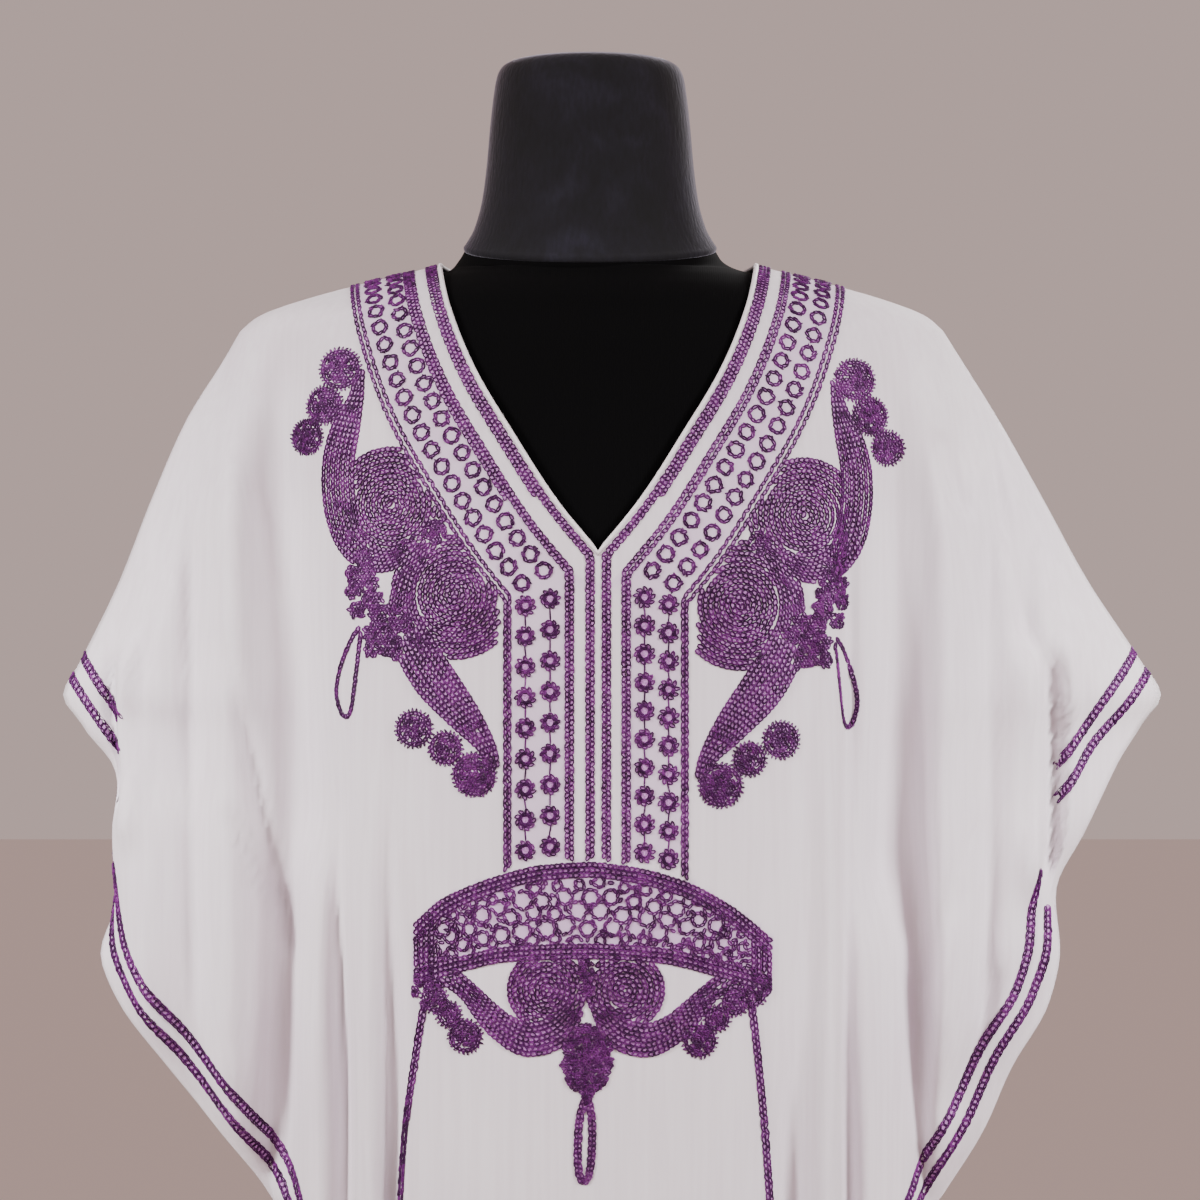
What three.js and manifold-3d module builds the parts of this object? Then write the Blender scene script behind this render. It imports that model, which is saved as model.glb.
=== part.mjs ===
// A long white kaftan with batwing half sleeves and purple chain-stitch embroidery,
// worn by a limbless black dress form on a pole and a round base.
// Millimetres, +Z up, front towards -Y. "drop" is a height measured down from the neck point
// of the shoulders; "side" is -1 for the left of the view and +1 for the right.
import * as THREE from 'three';
import { mergeVertices } from 'three/addons/utils/BufferGeometryUtils.js';
import Module from 'manifold-3d';

const wasm = await Module();
wasm.setup();
const { Manifold } = wasm;

const NECK_HEIGHT = 1509;       // the neck point of the shoulders above the floor
const SEAM_GAP = 0.3;           // between pieces that meet
const CLOTH = 2.0;              // wall of the cloth
const THREAD = 1.0;             // thickness of an embroidered piece
const LEFT = -1;
const RIGHT = 1;

// ---------------------------------------------------------------- curves through short tables

const mix = (a, b, share) => a + (b - a) * share;
const clamp = (value, low, high) => Math.min(high, Math.max(low, value));
const ease = (value) => {
  const t = clamp(value, 0, 1);
  return t * t * (3 - 2 * t);
};

// Slope of a smooth curve at a row of a table, never overshooting its rows.
function slopeAt(rows, input, output, i) {
  const rise = (k) => (rows[k + 1][output] - rows[k][output]) / (rows[k + 1][input] - rows[k][input]);
  if (i === 0) return rise(0);
  if (i === rows.length - 1) return rise(i - 1);
  const before = rise(i - 1);
  const after = rise(i);
  return before * after <= 0 ? 0 : (2 * before * after) / (before + after);
}

// Reads one column of a table of rows at any value of another column.
function read(rows, input, output, value) {
  const last = rows.length - 1;
  if (value <= rows[0][input]) return rows[0][output];
  if (value >= rows[last][input]) return rows[last][output];
  const i = rows.findIndex((row) => row[input] > value) - 1;
  const span = rows[i + 1][input] - rows[i][input];
  const t = (value - rows[i][input]) / span;
  const m0 = slopeAt(rows, input, output, i) * span;
  const m1 = slopeAt(rows, input, output, i + 1) * span;
  return (1 + 2 * t) * (1 - t) ** 2 * rows[i][output] + t * (1 - t) ** 2 * m0
    + t * t * (3 - 2 * t) * rows[i + 1][output] + t * t * (t - 1) * m1;
}

// ---------------------------------------------------------------- the garment's sizes

const NECK_HALF = 99;           // half the width of the neck opening at the shoulders
const TIP_DROP = 41;            // the shoulder tips
const CORNER_DROP = 270;        // the cuffs' upper corners, at the end of the overarm folds
const UNDERARM_DROP = 628;      // where cuff, underarm and side seam meet
const HEM_DROP = 1405;

// The shoulder line, from the neck point to the tip. share = way along it.
const SHOULDER_LINE = [
  { share: 0, drop: 0 },
  { share: 0.48, drop: 14.5 },
  { share: 0.77, drop: 25 },
  { share: 0.91, drop: 32 },
  { share: 1, drop: TIP_DROP },
];

// The neck edge in front and behind. out = distance from the middle.
const FRONT_NECK = [
  { out: 0, drop: 182 },
  { out: 26, drop: 150 },
  { out: 53, drop: 108 },
  { out: 76, drop: 69 },
  { out: 92, drop: 29 },
  { out: NECK_HALF, drop: 0 },
];
const BACK_NECK = [
  { out: 0, drop: 17 },
  { out: 62, drop: 11 },
  { out: NECK_HALF, drop: 0 },
];

// How far the cloth reaches to each side: the overarm fold, the cuff edge, then the side seam.
const REACH = [
  { drop: TIP_DROP, left: 225, right: 217 },
  { drop: 60, left: 236, right: 229 },
  { drop: 97, left: 259, right: 252 },
  { drop: 147, left: 281, right: 280 },
  { drop: 198, left: 301, right: 308 },
  { drop: 248, left: 325, right: 341 },
  { drop: CORNER_DROP, left: 336, right: 354 },
  { drop: 288, left: 325, right: 341 },
  { drop: 312, left: 321, right: 324 },
  { drop: 353, left: 332, right: 306 },
  { drop: 390, left: 328, right: 294 },
  { drop: 425, left: 318, right: 291 },
  { drop: 460, left: 299, right: 281 },
  { drop: 499, left: 268, right: 258 },
  { drop: 540, left: 236, right: 240 },
  { drop: 581, left: 206, right: 216 },
  { drop: UNDERARM_DROP, left: 187, right: 188 },
  { drop: 700, left: 191, right: 192 },
  { drop: 920, left: 212, right: 214 },
  { drop: 1160, left: 244, right: 246 },
  { drop: HEM_DROP, left: 278, right: 278 },
];

// The body of the kaftan. divide = where body and sleeve part; front, back = depths at the middle.
const BODY = [
  { drop: 0, divide: 124, front: 68, back: 68 },
  { drop: TIP_DROP, divide: 156, front: 95, back: 97 },
  { drop: 84, divide: 173, front: 109, back: 114 },
  { drop: 145, divide: 190, front: 122, back: 122 },
  { drop: 222, divide: 198, front: 132, back: 120 },
  { drop: 340, divide: 199, front: 134, back: 116 },
  { drop: 445, divide: 198, front: 132, back: 118 },
  { drop: 581, divide: 193, front: 132, back: 128 },
  { drop: UNDERARM_DROP, divide: 186, front: 132, back: 130 },
  { drop: 920, divide: 186, front: 138, back: 140 },
  { drop: HEM_DROP, divide: 186, front: 160, back: 168 },
];

// The sleeves. depth = half their fullness; open = half the cuff's gap; flat = 1 where the layers
// end at an open edge and 0 where they turn over a fold; pocket = how far the cloth sinks in
// between body and sleeve; left, right = degrees that the cuff edge turns back behind its pipe.
const SLEEVE = [
  { drop: 0, depth: 0, open: 0, flat: 0, pocket: 0, left: 0, right: 0 },
  { drop: TIP_DROP, depth: 8, open: 0, flat: 0, pocket: 0, left: 0, right: 0 },
  { drop: 94, depth: 52, open: 0, flat: 0, pocket: 0.05, left: 0, right: 0 },
  { drop: 177, depth: 66, open: 0, flat: 0, pocket: 0.3, left: 0, right: 0 },
  { drop: CORNER_DROP, depth: 68, open: 0, flat: 0.2, pocket: 0.5, left: 8, right: 0 },
  { drop: 312, depth: 68, open: 20, flat: 0.8, pocket: 0.62, left: 85, right: 10 },
  { drop: 353, depth: 70, open: 30, flat: 1, pocket: 0.72, left: 140, right: 35 },
  { drop: 390, depth: 70, open: 34, flat: 1, pocket: 0.8, left: 125, right: 60 },
  { drop: 436, depth: 68, open: 36, flat: 1, pocket: 0.88, left: 45, right: 35 },
  { drop: 499, depth: 60, open: 32, flat: 1, pocket: 0.92, left: 12, right: 12 },
  { drop: 581, depth: 40, open: 16, flat: 1, pocket: 0.9, left: 0, right: 0 },
  { drop: UNDERARM_DROP, depth: 4, open: 0, flat: 0, pocket: 0, left: 0, right: 0 },
];

// Folds. Each runs from (x, from) to (toX, to); wide = half width; rise = height of the ridge at
// its lower end, below zero for a trough; lean = how far its crest tips sideways, out from the middle.
const FRONT_FOLDS = [
  { side: LEFT, x: 124, from: 340, toX: 126, to: 1405, wide: 9, rise: -9, lean: 0 },
  { side: LEFT, x: 141, from: 260, toX: 141, to: 1405, wide: 12, rise: 10, lean: 0 },
  { side: LEFT, x: 157, from: 310, toX: 157, to: 1405, wide: 8, rise: -14, lean: 0 },
  { side: LEFT, x: 173, from: 280, toX: 174, to: 1100, wide: 12, rise: 16, lean: 6 },
  { side: LEFT, x: 212, from: 60, toX: 230, to: 540, wide: 20, rise: 12, lean: 0 },
  { side: LEFT, x: 270, from: 155, toX: 280, to: 490, wide: 18, rise: 12, lean: 4 },
  { side: LEFT, x: 247, from: 135, toX: 254, to: 500, wide: 9, rise: -8, lean: 0 },
  { side: RIGHT, x: 118, from: 340, toX: 121, to: 1405, wide: 8, rise: -7, lean: 0 },
  { side: RIGHT, x: 133, from: 230, toX: 135, to: 1405, wide: 10, rise: 12, lean: 0 },
  { side: RIGHT, x: 151, from: 210, toX: 151, to: 1405, wide: 9, rise: -16, lean: -4 },
  { side: RIGHT, x: 168, from: 260, toX: 170, to: 1250, wide: 13, rise: 20, lean: -6 },
  { side: RIGHT, x: 220, from: 60, toX: 225, to: 540, wide: 17, rise: 12, lean: 0 },
  { side: RIGHT, x: 243, from: 125, toX: 241, to: 500, wide: 9, rise: -9, lean: 0 },
  { side: RIGHT, x: 262, from: 170, toX: 262, to: 490, wide: 13, rise: 13, lean: 5 },
  { side: RIGHT, x: 285, from: 250, toX: 279, to: 400, wide: 9, rise: -14, lean: 0 },
  { side: LEFT, x: 56, from: 700, toX: 60, to: 1405, wide: 14, rise: -12, lean: 0 },
  { side: LEFT, x: 86, from: 780, toX: 88, to: 1405, wide: 14, rise: 12, lean: 0 },
  { side: RIGHT, x: 38, from: 740, toX: 40, to: 1405, wide: 13, rise: -10, lean: 0 },
  { side: RIGHT, x: 72, from: 720, toX: 78, to: 1405, wide: 15, rise: 14, lean: 0 },
];
const BACK_FOLDS = [
  { side: LEFT, x: 58, from: 250, toX: 66, to: 1405, wide: 20, rise: 16, lean: 0 },
  { side: LEFT, x: 112, from: 190, toX: 110, to: 1405, wide: 16, rise: -14, lean: 0 },
  { side: LEFT, x: 150, from: 165, toX: 148, to: 1405, wide: 16, rise: 16, lean: 0 },
  { side: LEFT, x: 233, from: 115, toX: 240, to: 520, wide: 18, rise: 12, lean: 0 },
  { side: LEFT, x: 274, from: 200, toX: 270, to: 480, wide: 12, rise: -8, lean: 0 },
  { side: RIGHT, x: 46, from: 290, toX: 54, to: 1405, wide: 18, rise: 14, lean: 0 },
  { side: RIGHT, x: 98, from: 210, toX: 96, to: 1405, wide: 17, rise: -15, lean: 0 },
  { side: RIGHT, x: 146, from: 180, toX: 142, to: 1405, wide: 17, rise: 18, lean: 0 },
  { side: RIGHT, x: 237, from: 105, toX: 243, to: 520, wide: 19, rise: 12, lean: 0 },
  { side: RIGHT, x: 288, from: 220, toX: 278, to: 460, wide: 12, rise: -8, lean: 0 },
];
const FOLD_FADE = 0.22;         // share of a fold's length over which it grows from flat
const FOLD_START = 0.6;         // share of its full height that a fold has near its upper end
const FOLD_END = 60;            // height over which it dies away below its lower end

const PANELS = {
  front: { facing: -1, depth: 'front', neck: FRONT_NECK, folds: FRONT_FOLDS },
  back: { facing: 1, depth: 'back', neck: BACK_NECK, folds: BACK_FOLDS },
};

// ---------------------------------------------------------------- the cloth's surface

const sideName = (side) => (side < 0 ? 'left' : 'right');
const tipReach = (side) => REACH[0][sideName(side)];

// How far down the shoulder line is at a distance from the middle, and the reverse.
function shoulderDrop(side, out) {
  return read(SHOULDER_LINE, 'share', 'drop', (out - NECK_HALF) / (tipReach(side) - NECK_HALF));
}
function reachAt(side, drop) {
  if (drop >= TIP_DROP) return read(REACH, 'drop', sideName(side), drop);
  const share = read(SHOULDER_LINE, 'drop', 'share', drop);
  return mix(NECK_HALF, tipReach(side), share);
}

const SIDE_EASE = 12;           // how far the body's round goes beyond the divide
const SIDE_BLEND = 120;         // height over which body and sleeve part, and join again
const POCKET_WIDE = 15;         // half width of the pocket between body and sleeve

// Depth of the plain cloth in front of or behind the seams, without its folds.
function plainDepth(panel, side, out, drop) {
  const reach = Math.max(reachAt(side, drop), out);
  const across = clamp(out / reach, 0, 1);
  const middle = read(BODY, 'drop', panel.depth, drop);
  const divide = read(BODY, 'drop', 'divide', drop);
  const parted = ease((drop - TIP_DROP) / SIDE_BLEND);
  const bodyReach = mix(reach, Math.min(reach, divide + SIDE_EASE), parted);
  const skirt = ease((drop - UNDERARM_DROP) / SIDE_BLEND);
  const bodyHalf = mix(bodyReach, reach, skirt);
  const body = middle * Math.sqrt(Math.max(0, 1 - (out / bodyHalf) ** 2));
  const depth = read(SLEEVE, 'drop', 'depth', drop);
  const open = read(SLEEVE, 'drop', 'open', drop);
  const flat = read(SLEEVE, 'drop', 'flat', drop);
  const pocket = read(SLEEVE, 'drop', 'pocket', drop);
  const sink = 1 - pocket * Math.exp(-(((out - divide) / POCKET_WIDE) ** 2));
  const sleeve = (open + (depth - open) * Math.max(0, 1 - across ** 3) ** mix(0.5, 1, flat)) * sink;
  return (body ** 4 + sleeve ** 4) ** 0.25;
}

// How much wider the skirt is than the body at the underarm; folds and chain lines spread with it.
const spread = (side, drop) => (
  Math.max(1, reachAt(side, Math.max(drop, UNDERARM_DROP)) / reachAt(side, UNDERARM_DROP)));

// Adds the folds: returns how far the cloth moves forward and sideways.
function foldShift(panel, side, out, drop) {
  let forward = 0;
  let outward = 0;
  const wider = spread(side, drop);
  for (const fold of panel.folds) {
    if (fold.side !== side || drop < fold.from || drop > fold.to + FOLD_END) continue;
    const along = (drop - fold.from) / (fold.to - fold.from);
    const ending = 1 - ease((drop - fold.to) / FOLD_END);
    const grown = ease(along / FOLD_FADE) * mix(FOLD_START, 1, clamp(along, 0, 1)) * ending;
    const away = (out / wider - mix(fold.x, fold.toX, along)) / fold.wide;
    const bell = Math.exp(-away * away) * grown;
    forward += fold.rise * bell;
    outward += fold.lean * bell;
  }
  return { forward, outward };
}

const PIPE = 50;                // width of cloth that turns back behind the outer pipe
const EDGE_FADE = 14;           // width beside the edge in which folds fade
const TURN_LEAST = 0.01;        // radians; below this the cloth counts as not turned

// A point of the cloth: out = distance from the middle in the flat of the cloth, drop = height.
function clothPoint(panel, side, out, drop) {
  const reach = reachAt(side, drop);
  const turn = THREE.MathUtils.degToRad(read(SLEEVE, 'drop', sideName(side), drop));
  const past = out - (reach - PIPE);
  const edgeFade = ease((reach - out) / EDGE_FADE);
  const { forward, outward } = foldShift(panel, side, out, drop);
  let depth = plainDepth(panel, side, out, drop) + forward * edgeFade;
  let across = out + outward * edgeFade;
  if (turn > TURN_LEAST && past > 0) {
    const angle = turn * (past / PIPE);
    const radius = PIPE / turn;
    const before = plainDepth(panel, side, reach - PIPE, drop);
    across = reach - PIPE + radius * Math.sin(angle) + outward * edgeFade;
    depth = mix(depth, before - radius * (1 - Math.cos(angle)) + forward * edgeFade, clamp(turn, 0, 1));
  }
  return new THREE.Vector3(side * across, panel.facing * (depth + SEAM_GAP / 2), NECK_HEIGHT - drop);
}

// ---------------------------------------------------------------- the cloth's grid

// Rows follow the neck and shoulder line at the top and turn level by the cuffs' corners.
const UPPER_ROWS = [TIP_DROP, 42, 45, 51, 62, 80, 105, 135, 170, 205, 240, CORNER_DROP,
  292, 318, 347, 378, 412, 448, 487, 530, 578, UNDERARM_DROP];
const SKIRT_ROWS = [710, 840, 1000, 1200, HEM_DROP];
const LEVEL_DROP = 345;         // from here down the rows are level
const NECK_COLUMN = 0.633;      // share of the divide's width at the shoulder: the neck point
const BODY_COLUMNS = {
  front: [0.16, 0.32, 0.45, 0.53, 0.585, 0.61, 0.626, NECK_COLUMN, 0.69, 0.75, 0.8, 0.86, 0.93, 1],
  back: [0.2, 0.4, 0.54, NECK_COLUMN, 0.76, 0.88, 1],
};
const SLEEVE_COLUMNS = { front: [0.22, 0.44, 0.64, 0.82, 1], back: [0.5, 1] };
// Distances from the cuff edge; the braids lie between the middle two.
const CUFF_COLUMNS = [40, 28, 13, 0];
const CUFF_ROOM = 110;          // width of sleeve at which the cuff columns stand at full distance
const NEAR = 0.5;               // a column this close to the neck point counts as on it

// Distance from the middle of each column of one side at a row, given the row's outer drop.
function columnPlaces(name, side, drop) {
  const divide = read(BODY, 'drop', 'divide', drop);
  const reach = reachAt(side, drop);
  if (drop >= UNDERARM_DROP) return BODY_COLUMNS[name].map((share) => share * reach);
  const room = reach - divide;
  const squeeze = Math.min(1, room / CUFF_ROOM);
  const sleeve = SLEEVE_COLUMNS[name].map((share) => divide + share * (room - PIPE * squeeze));
  const cuff = CUFF_COLUMNS.map((distance) => reach - distance * squeeze);
  return [...BODY_COLUMNS[name].map((share) => share * divide), ...sleeve, ...cuff];
}

// Builds one panel: its points, which column and row each has, and its triangles.
function panelSheet(name) {
  const panel = PANELS[name];
  const rows = [...UPPER_ROWS, ...SKIRT_ROWS];
  const tipRow = UPPER_ROWS.length - 1;
  const bodyCount = BODY_COLUMNS[name].length;
  const count = bodyCount + SLEEVE_COLUMNS[name].length + CUFF_COLUMNS.length;
  const points = [];
  const seams = new Set();
  const index = new Map();
  rows.forEach((outerDrop, row) => {
    const fade = 1 - ease((outerDrop - TIP_DROP) / (LEVEL_DROP - TIP_DROP));
    for (const side of [LEFT, RIGHT]) {
      const places = columnPlaces(name, side, outerDrop);
      const start = columnPlaces(name, side, TIP_DROP);
      for (let column = 0; column <= count; column += 1) {
        if (column === 0 && side === RIGHT) continue;
        if (row >= tipRow && column > bodyCount) continue;
        const out = column === 0 ? 0 : places[column - 1];
        const startOut = column === 0 ? 0 : start[column - 1];
        const top = startOut < NECK_HALF - NEAR
          ? read(panel.neck, 'out', 'drop', startOut) : shoulderDrop(side, startOut);
        const drop = outerDrop + (top - TIP_DROP) * fade;
        const key = `${row},${side * column}`;
        index.set(key, points.length);
        const last = row >= tipRow ? bodyCount : count;
        const onShoulder = row === 0 && startOut > NECK_HALF - NEAR;
        const onSide = column === last && (outerDrop <= CORNER_DROP || row >= tipRow);
        if (onShoulder || onSide) seams.add(points.length);
        points.push(clothPoint(panel, side, row === 0 ? startOut : out, drop));
      }
    }
  });
  const at = (row, column) => {
    const reachColumn = row >= tipRow ? Math.sign(column) * Math.min(Math.abs(column), bodyCount) : column;
    return index.get(`${row},${reachColumn}`);
  };
  const triangles = [];
  const addTriangle = (a, b, c) => {
    if (a !== b && b !== c && c !== a) triangles.push([a, b, c]);
  };
  for (let row = 0; row < rows.length - 1; row += 1) {
    const wide = row >= tipRow ? bodyCount : count;
    for (let column = -wide; column < wide; column += 1) {
      const [a, b] = [at(row, column), at(row, column + 1)];
      const [c, d] = [at(row + 1, column + 1), at(row + 1, column)];
      addTriangle(a, d, c);
      addTriangle(a, c, b);
    }
  }
  if (panel.facing > 0) triangles.forEach((triangle) => triangle.reverse());
  return { points, triangles, seams, at, tipRow, count, bodyCount, facing: panel.facing };
}

// Outward directions at a sheet's points; seam points keep theirs in the seam's plane.
function sheetNormals(sheet) {
  const normals = sheet.points.map(() => new THREE.Vector3());
  for (const [a, b, c] of sheet.triangles) {
    const edge = sheet.points[b].clone().sub(sheet.points[a]);
    const normal = edge.cross(sheet.points[c].clone().sub(sheet.points[a]));
    for (const corner of [a, b, c]) normals[corner].add(normal);
  }
  sheet.seams?.forEach((corner) => normals[corner].setY(0));
  return normals.map((normal) => normal.normalize());
}

// Closes a sheet into a wall between two distances along its outward directions.
function wall(sheet, inner, outer) {
  const normals = sheet.normals ?? sheetNormals(sheet);
  const count = sheet.points.length;
  const positions = [];
  for (const distance of [outer, inner]) {
    sheet.points.forEach((point, i) => {
      positions.push(...point.clone().addScaledVector(normals[i], distance));
    });
  }
  const faces = [];
  const edges = new Map();
  for (const [a, b, c] of sheet.triangles) {
    faces.push([a, b, c], [a + count, c + count, b + count]);
    for (const [from, to] of [[a, b], [b, c], [c, a]]) edges.set(`${from},${to}`, [from, to]);
  }
  for (const [from, to] of edges.values()) {
    if (edges.has(`${to},${from}`)) continue;
    faces.push([from, from + count, to + count], [from, to + count, to]);
  }
  const geometry = new THREE.BufferGeometry();
  geometry.setAttribute('position', new THREE.Float32BufferAttribute(positions, 3));
  geometry.setIndex(faces.flat());
  return geometry;
}

// ---------------------------------------------------------------- solids and meshes

function toSolid(geometry) {
  const bare = geometry.clone();
  for (const name of Object.keys(bare.attributes)) if (name !== 'position') bare.deleteAttribute(name);
  const merged = mergeVertices(bare, 1e-5);
  const vertProperties = new Float32Array(merged.attributes.position.array);
  const triVerts = new Uint32Array(merged.index.array);
  return new Manifold(new wasm.Mesh({ numProp: 3, vertProperties, triVerts }));
}

function toGeometry(solid) {
  const mesh = solid.getMesh();
  const geometry = new THREE.BufferGeometry();
  const positions = [];
  for (let i = 0; i < mesh.vertProperties.length; i += mesh.numProp) {
    positions.push(...mesh.vertProperties.slice(i, i + 3));
  }
  geometry.setAttribute('position', new THREE.Float32BufferAttribute(positions, 3));
  geometry.setIndex([...mesh.triVerts]);
  return geometry;
}

const kaftan = new THREE.Group();
const MATERIALS = {
  crepe: new THREE.MeshStandardMaterial({ color: '#e3dce0', roughness: 0.85, metalness: 0 }),
  binding: new THREE.MeshStandardMaterial({ color: '#f0eaee', roughness: 0.75, metalness: 0 }),
  thread: new THREE.MeshStandardMaterial({ color: '#5d2463', roughness: 0.55, metalness: 0 }),
  velvet: new THREE.MeshStandardMaterial({ color: '#2f2c37', roughness: 1, metalness: 0 }),
  jersey: new THREE.MeshStandardMaterial({ color: '#0f0e13', roughness: 0.9, metalness: 0 }),
  steel: new THREE.MeshStandardMaterial({ color: '#1b1b1e', roughness: 0.4, metalness: 0.8 }),
};

function addPiece(name, geometry, material) {
  const mesh = new THREE.Mesh(geometry, MATERIALS[material]);
  mesh.name = name;
  kaftan.add(mesh);
  return mesh;
}

// ---------------------------------------------------------------- front and back panels

const front = panelSheet('front');
const back = panelSheet('back');
front.normals = sheetNormals(front);
back.normals = sheetNormals(back);
addPiece('kaftan_front', wall(front, -CLOTH, 0), 'crepe');
addPiece('kaftan_back', wall(back, -CLOTH, 0), 'crepe');

// ---------------------------------------------------------------- binding round the neck

const BINDING_WIDE = 2.8;
const BINDING_PROUD = 0.4;      // above the cloth's face
const BINDING_SLOPE = 0.6;      // how far its faces fall towards its free edge
const BINDING_GAP = 0.6;        // from the neck edge, so that its corners clear the cloth
const MITRE_LEAST = 0.5;        // limits how far a sharp corner's mitre reaches

// The neck edge of one panel from one shoulder to the other, with the cloth's outward directions.
function neckEdge(sheet) {
  const edge = [];
  for (let column = -sheet.bodyCount; column <= sheet.bodyCount; column += 1) {
    const i = sheet.at(0, column);
    const point = sheet.points[i];
    if (Math.abs(point.x) < NECK_HALF + NEAR) edge.push({ point, normal: sheet.normals[i] });
  }
  return edge;
}

// A closed roll that runs just inside the neck edge all the way round.
function bindingGeometry() {
  const frontEdge = neckEdge(front);
  const backEdge = neckEdge(back).reverse();
  const shared = (a, b) => ({
    point: a.point.clone().lerp(b.point, 0.5),
    normal: a.normal.clone().add(b.normal).normalize(),
  });
  const ring = [
    shared(frontEdge[0], backEdge[backEdge.length - 1]), ...frontEdge.slice(1, -1),
    shared(frontEdge[frontEdge.length - 1], backEdge[0]), ...backEdge.slice(1, -1),
  ];
  const far = BINDING_GAP + BINDING_WIDE;
  const corners = [
    { across: BINDING_GAP, up: BINDING_PROUD }, { across: far, up: BINDING_PROUD - BINDING_SLOPE },
    { across: far, up: BINDING_SLOPE + BINDING_PROUD - CLOTH },
    { across: BINDING_GAP, up: BINDING_SLOPE - CLOTH },
  ];
  const positions = [];
  ring.forEach(({ point, normal }, i) => {
    const before = ring[(i + ring.length - 1) % ring.length].point;
    const after = ring[(i + 1) % ring.length].point;
    const toBefore = before.clone().sub(point).normalize();
    const toAfter = after.clone().sub(point).normalize();
    const along = toAfter.clone().sub(toBefore).normalize();
    const inward = normal.clone().cross(along).normalize();
    const mitre = 1 / Math.max(MITRE_LEAST, Math.abs(toAfter.dot(along)));
    for (const { across, up } of corners) {
      positions.push(...point.clone().addScaledVector(inward, across * mitre).addScaledVector(normal, up));
    }
  });
  const faces = [];
  const sides = corners.length;
  for (let i = 0; i < ring.length; i += 1) {
    for (let k = 0; k < sides; k += 1) {
      const [a, b] = [i * sides + k, i * sides + ((k + 1) % sides)];
      const next = ((i + 1) % ring.length) * sides;
      const [c, d] = [next + ((k + 1) % sides), next + k];
      faces.push(a, c, b, a, d, c);
    }
  }
  const geometry = new THREE.BufferGeometry();
  geometry.setAttribute('position', new THREE.Float32BufferAttribute(positions, 3));
  geometry.setIndex(faces);
  return geometry;
}
addPiece('neck_binding', bindingGeometry(), 'binding');

// ---------------------------------------------------------------- embroidery on the front

// Each outline is a prism along Y that cuts its piece out of a skin on the front panel. It is drawn
// in the front's own view: x from the middle, and the drop below the neck point.
const SKIN_DEPTH = 260;
const ROUND_STEPS = 14;         // sides of a disc
const ARC_STEPS = 8;            // half the steps of an arc
const skin = toSolid(wall(front, SEAM_GAP, SEAM_GAP + THREAD));
const flatPoint = (x, drop) => new THREE.Vector2(x, -drop);

function prism(outline) {
  const settings = { depth: SKIN_DEPTH, bevelEnabled: false, curveSegments: ARC_STEPS };
  const geometry = new THREE.ExtrudeGeometry(outline, settings);
  return toSolid(geometry.rotateX(Math.PI / 2).translate(0, 0, NECK_HEIGHT));
}

function disc({ x, drop, radius }) {
  const geometry = new THREE.CylinderGeometry(radius, radius, SKIN_DEPTH, ROUND_STEPS);
  return toSolid(geometry.translate(x, -SKIN_DEPTH / 2, NECK_HEIGHT - drop));
}

// A line whose rows give its places and its widths.
function stroke(rows) {
  const places = rows.map(({ x, drop }) => flatPoint(x, drop));
  const outline = [];
  places.forEach((place, i) => {
    const next = places[Math.min(i + 1, places.length - 1)];
    const ahead = next.clone().sub(places[Math.max(i - 1, 0)]).normalize();
    const beside = new THREE.Vector2(-ahead.y, ahead.x).multiplyScalar(rows[i].wide / 2);
    outline.push(place.clone().add(beside));
    outline.unshift(place.clone().sub(beside));
  });
  return prism(new THREE.Shape(outline));
}

const join = (prisms) => prisms.reduce((whole, next) => whole.add(next));
const onFront = (outline) => toGeometry(skin.intersect(outline));

const BAND_WIDE = 59;           // the bands beside the neck
const BAND_INSET = 1.6;         // bare cloth between the neck edge and the band
const BAND_OVER = 40;           // how far a band's outline runs past the shoulder
const BAND_STEPS = 12;

// The outline beside one half of the V, between two distances from the neck edge.
function neckBand(side, margin) {
  const inner = [flatPoint(side * (NECK_HALF + BAND_INSET - margin), -BAND_OVER)];
  const outer = [flatPoint(side * (NECK_HALF + BAND_WIDE + margin), -BAND_OVER)];
  for (let i = 0; i <= BAND_STEPS; i += 1) {
    const out = NECK_HALF * Math.cos((i * Math.PI) / (2 * BAND_STEPS));
    const [before, after] = [Math.max(0, out - 1), Math.min(NECK_HALF, out + 1)];
    const fall = read(FRONT_NECK, 'out', 'drop', after) - read(FRONT_NECK, 'out', 'drop', before);
    const slope = new THREE.Vector2(after - before, fall).normalize();
    const drop = read(FRONT_NECK, 'out', 'drop', out);
    for (const [edge, away] of [[inner, BAND_INSET - margin], [outer, BAND_WIDE + margin]]) {
      edge.push(flatPoint(side * (out - slope.y * away), drop + slope.x * away));
    }
  }
  return prism(new THREE.Shape([...inner, ...outer.reverse()]));
}
const bandRoom = neckBand(LEFT, SEAM_GAP).add(neckBand(RIGHT, SEAM_GAP));
for (const side of [LEFT, RIGHT]) {
  addPiece(`neck_band_${sideName(side)}`, onFront(neckBand(side, 0)), 'thread');
}

const PLACKET = { left: -56, right: 51, top: 185, end: 367 };
const placket = prism(new THREE.Shape([
  flatPoint(PLACKET.left, PLACKET.top), flatPoint(PLACKET.left, PLACKET.end),
  flatPoint(PLACKET.right, PLACKET.end), flatPoint(PLACKET.right, PLACKET.top),
]));
addPiece('placket', onFront(placket.subtract(bandRoom)), 'thread');

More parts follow.
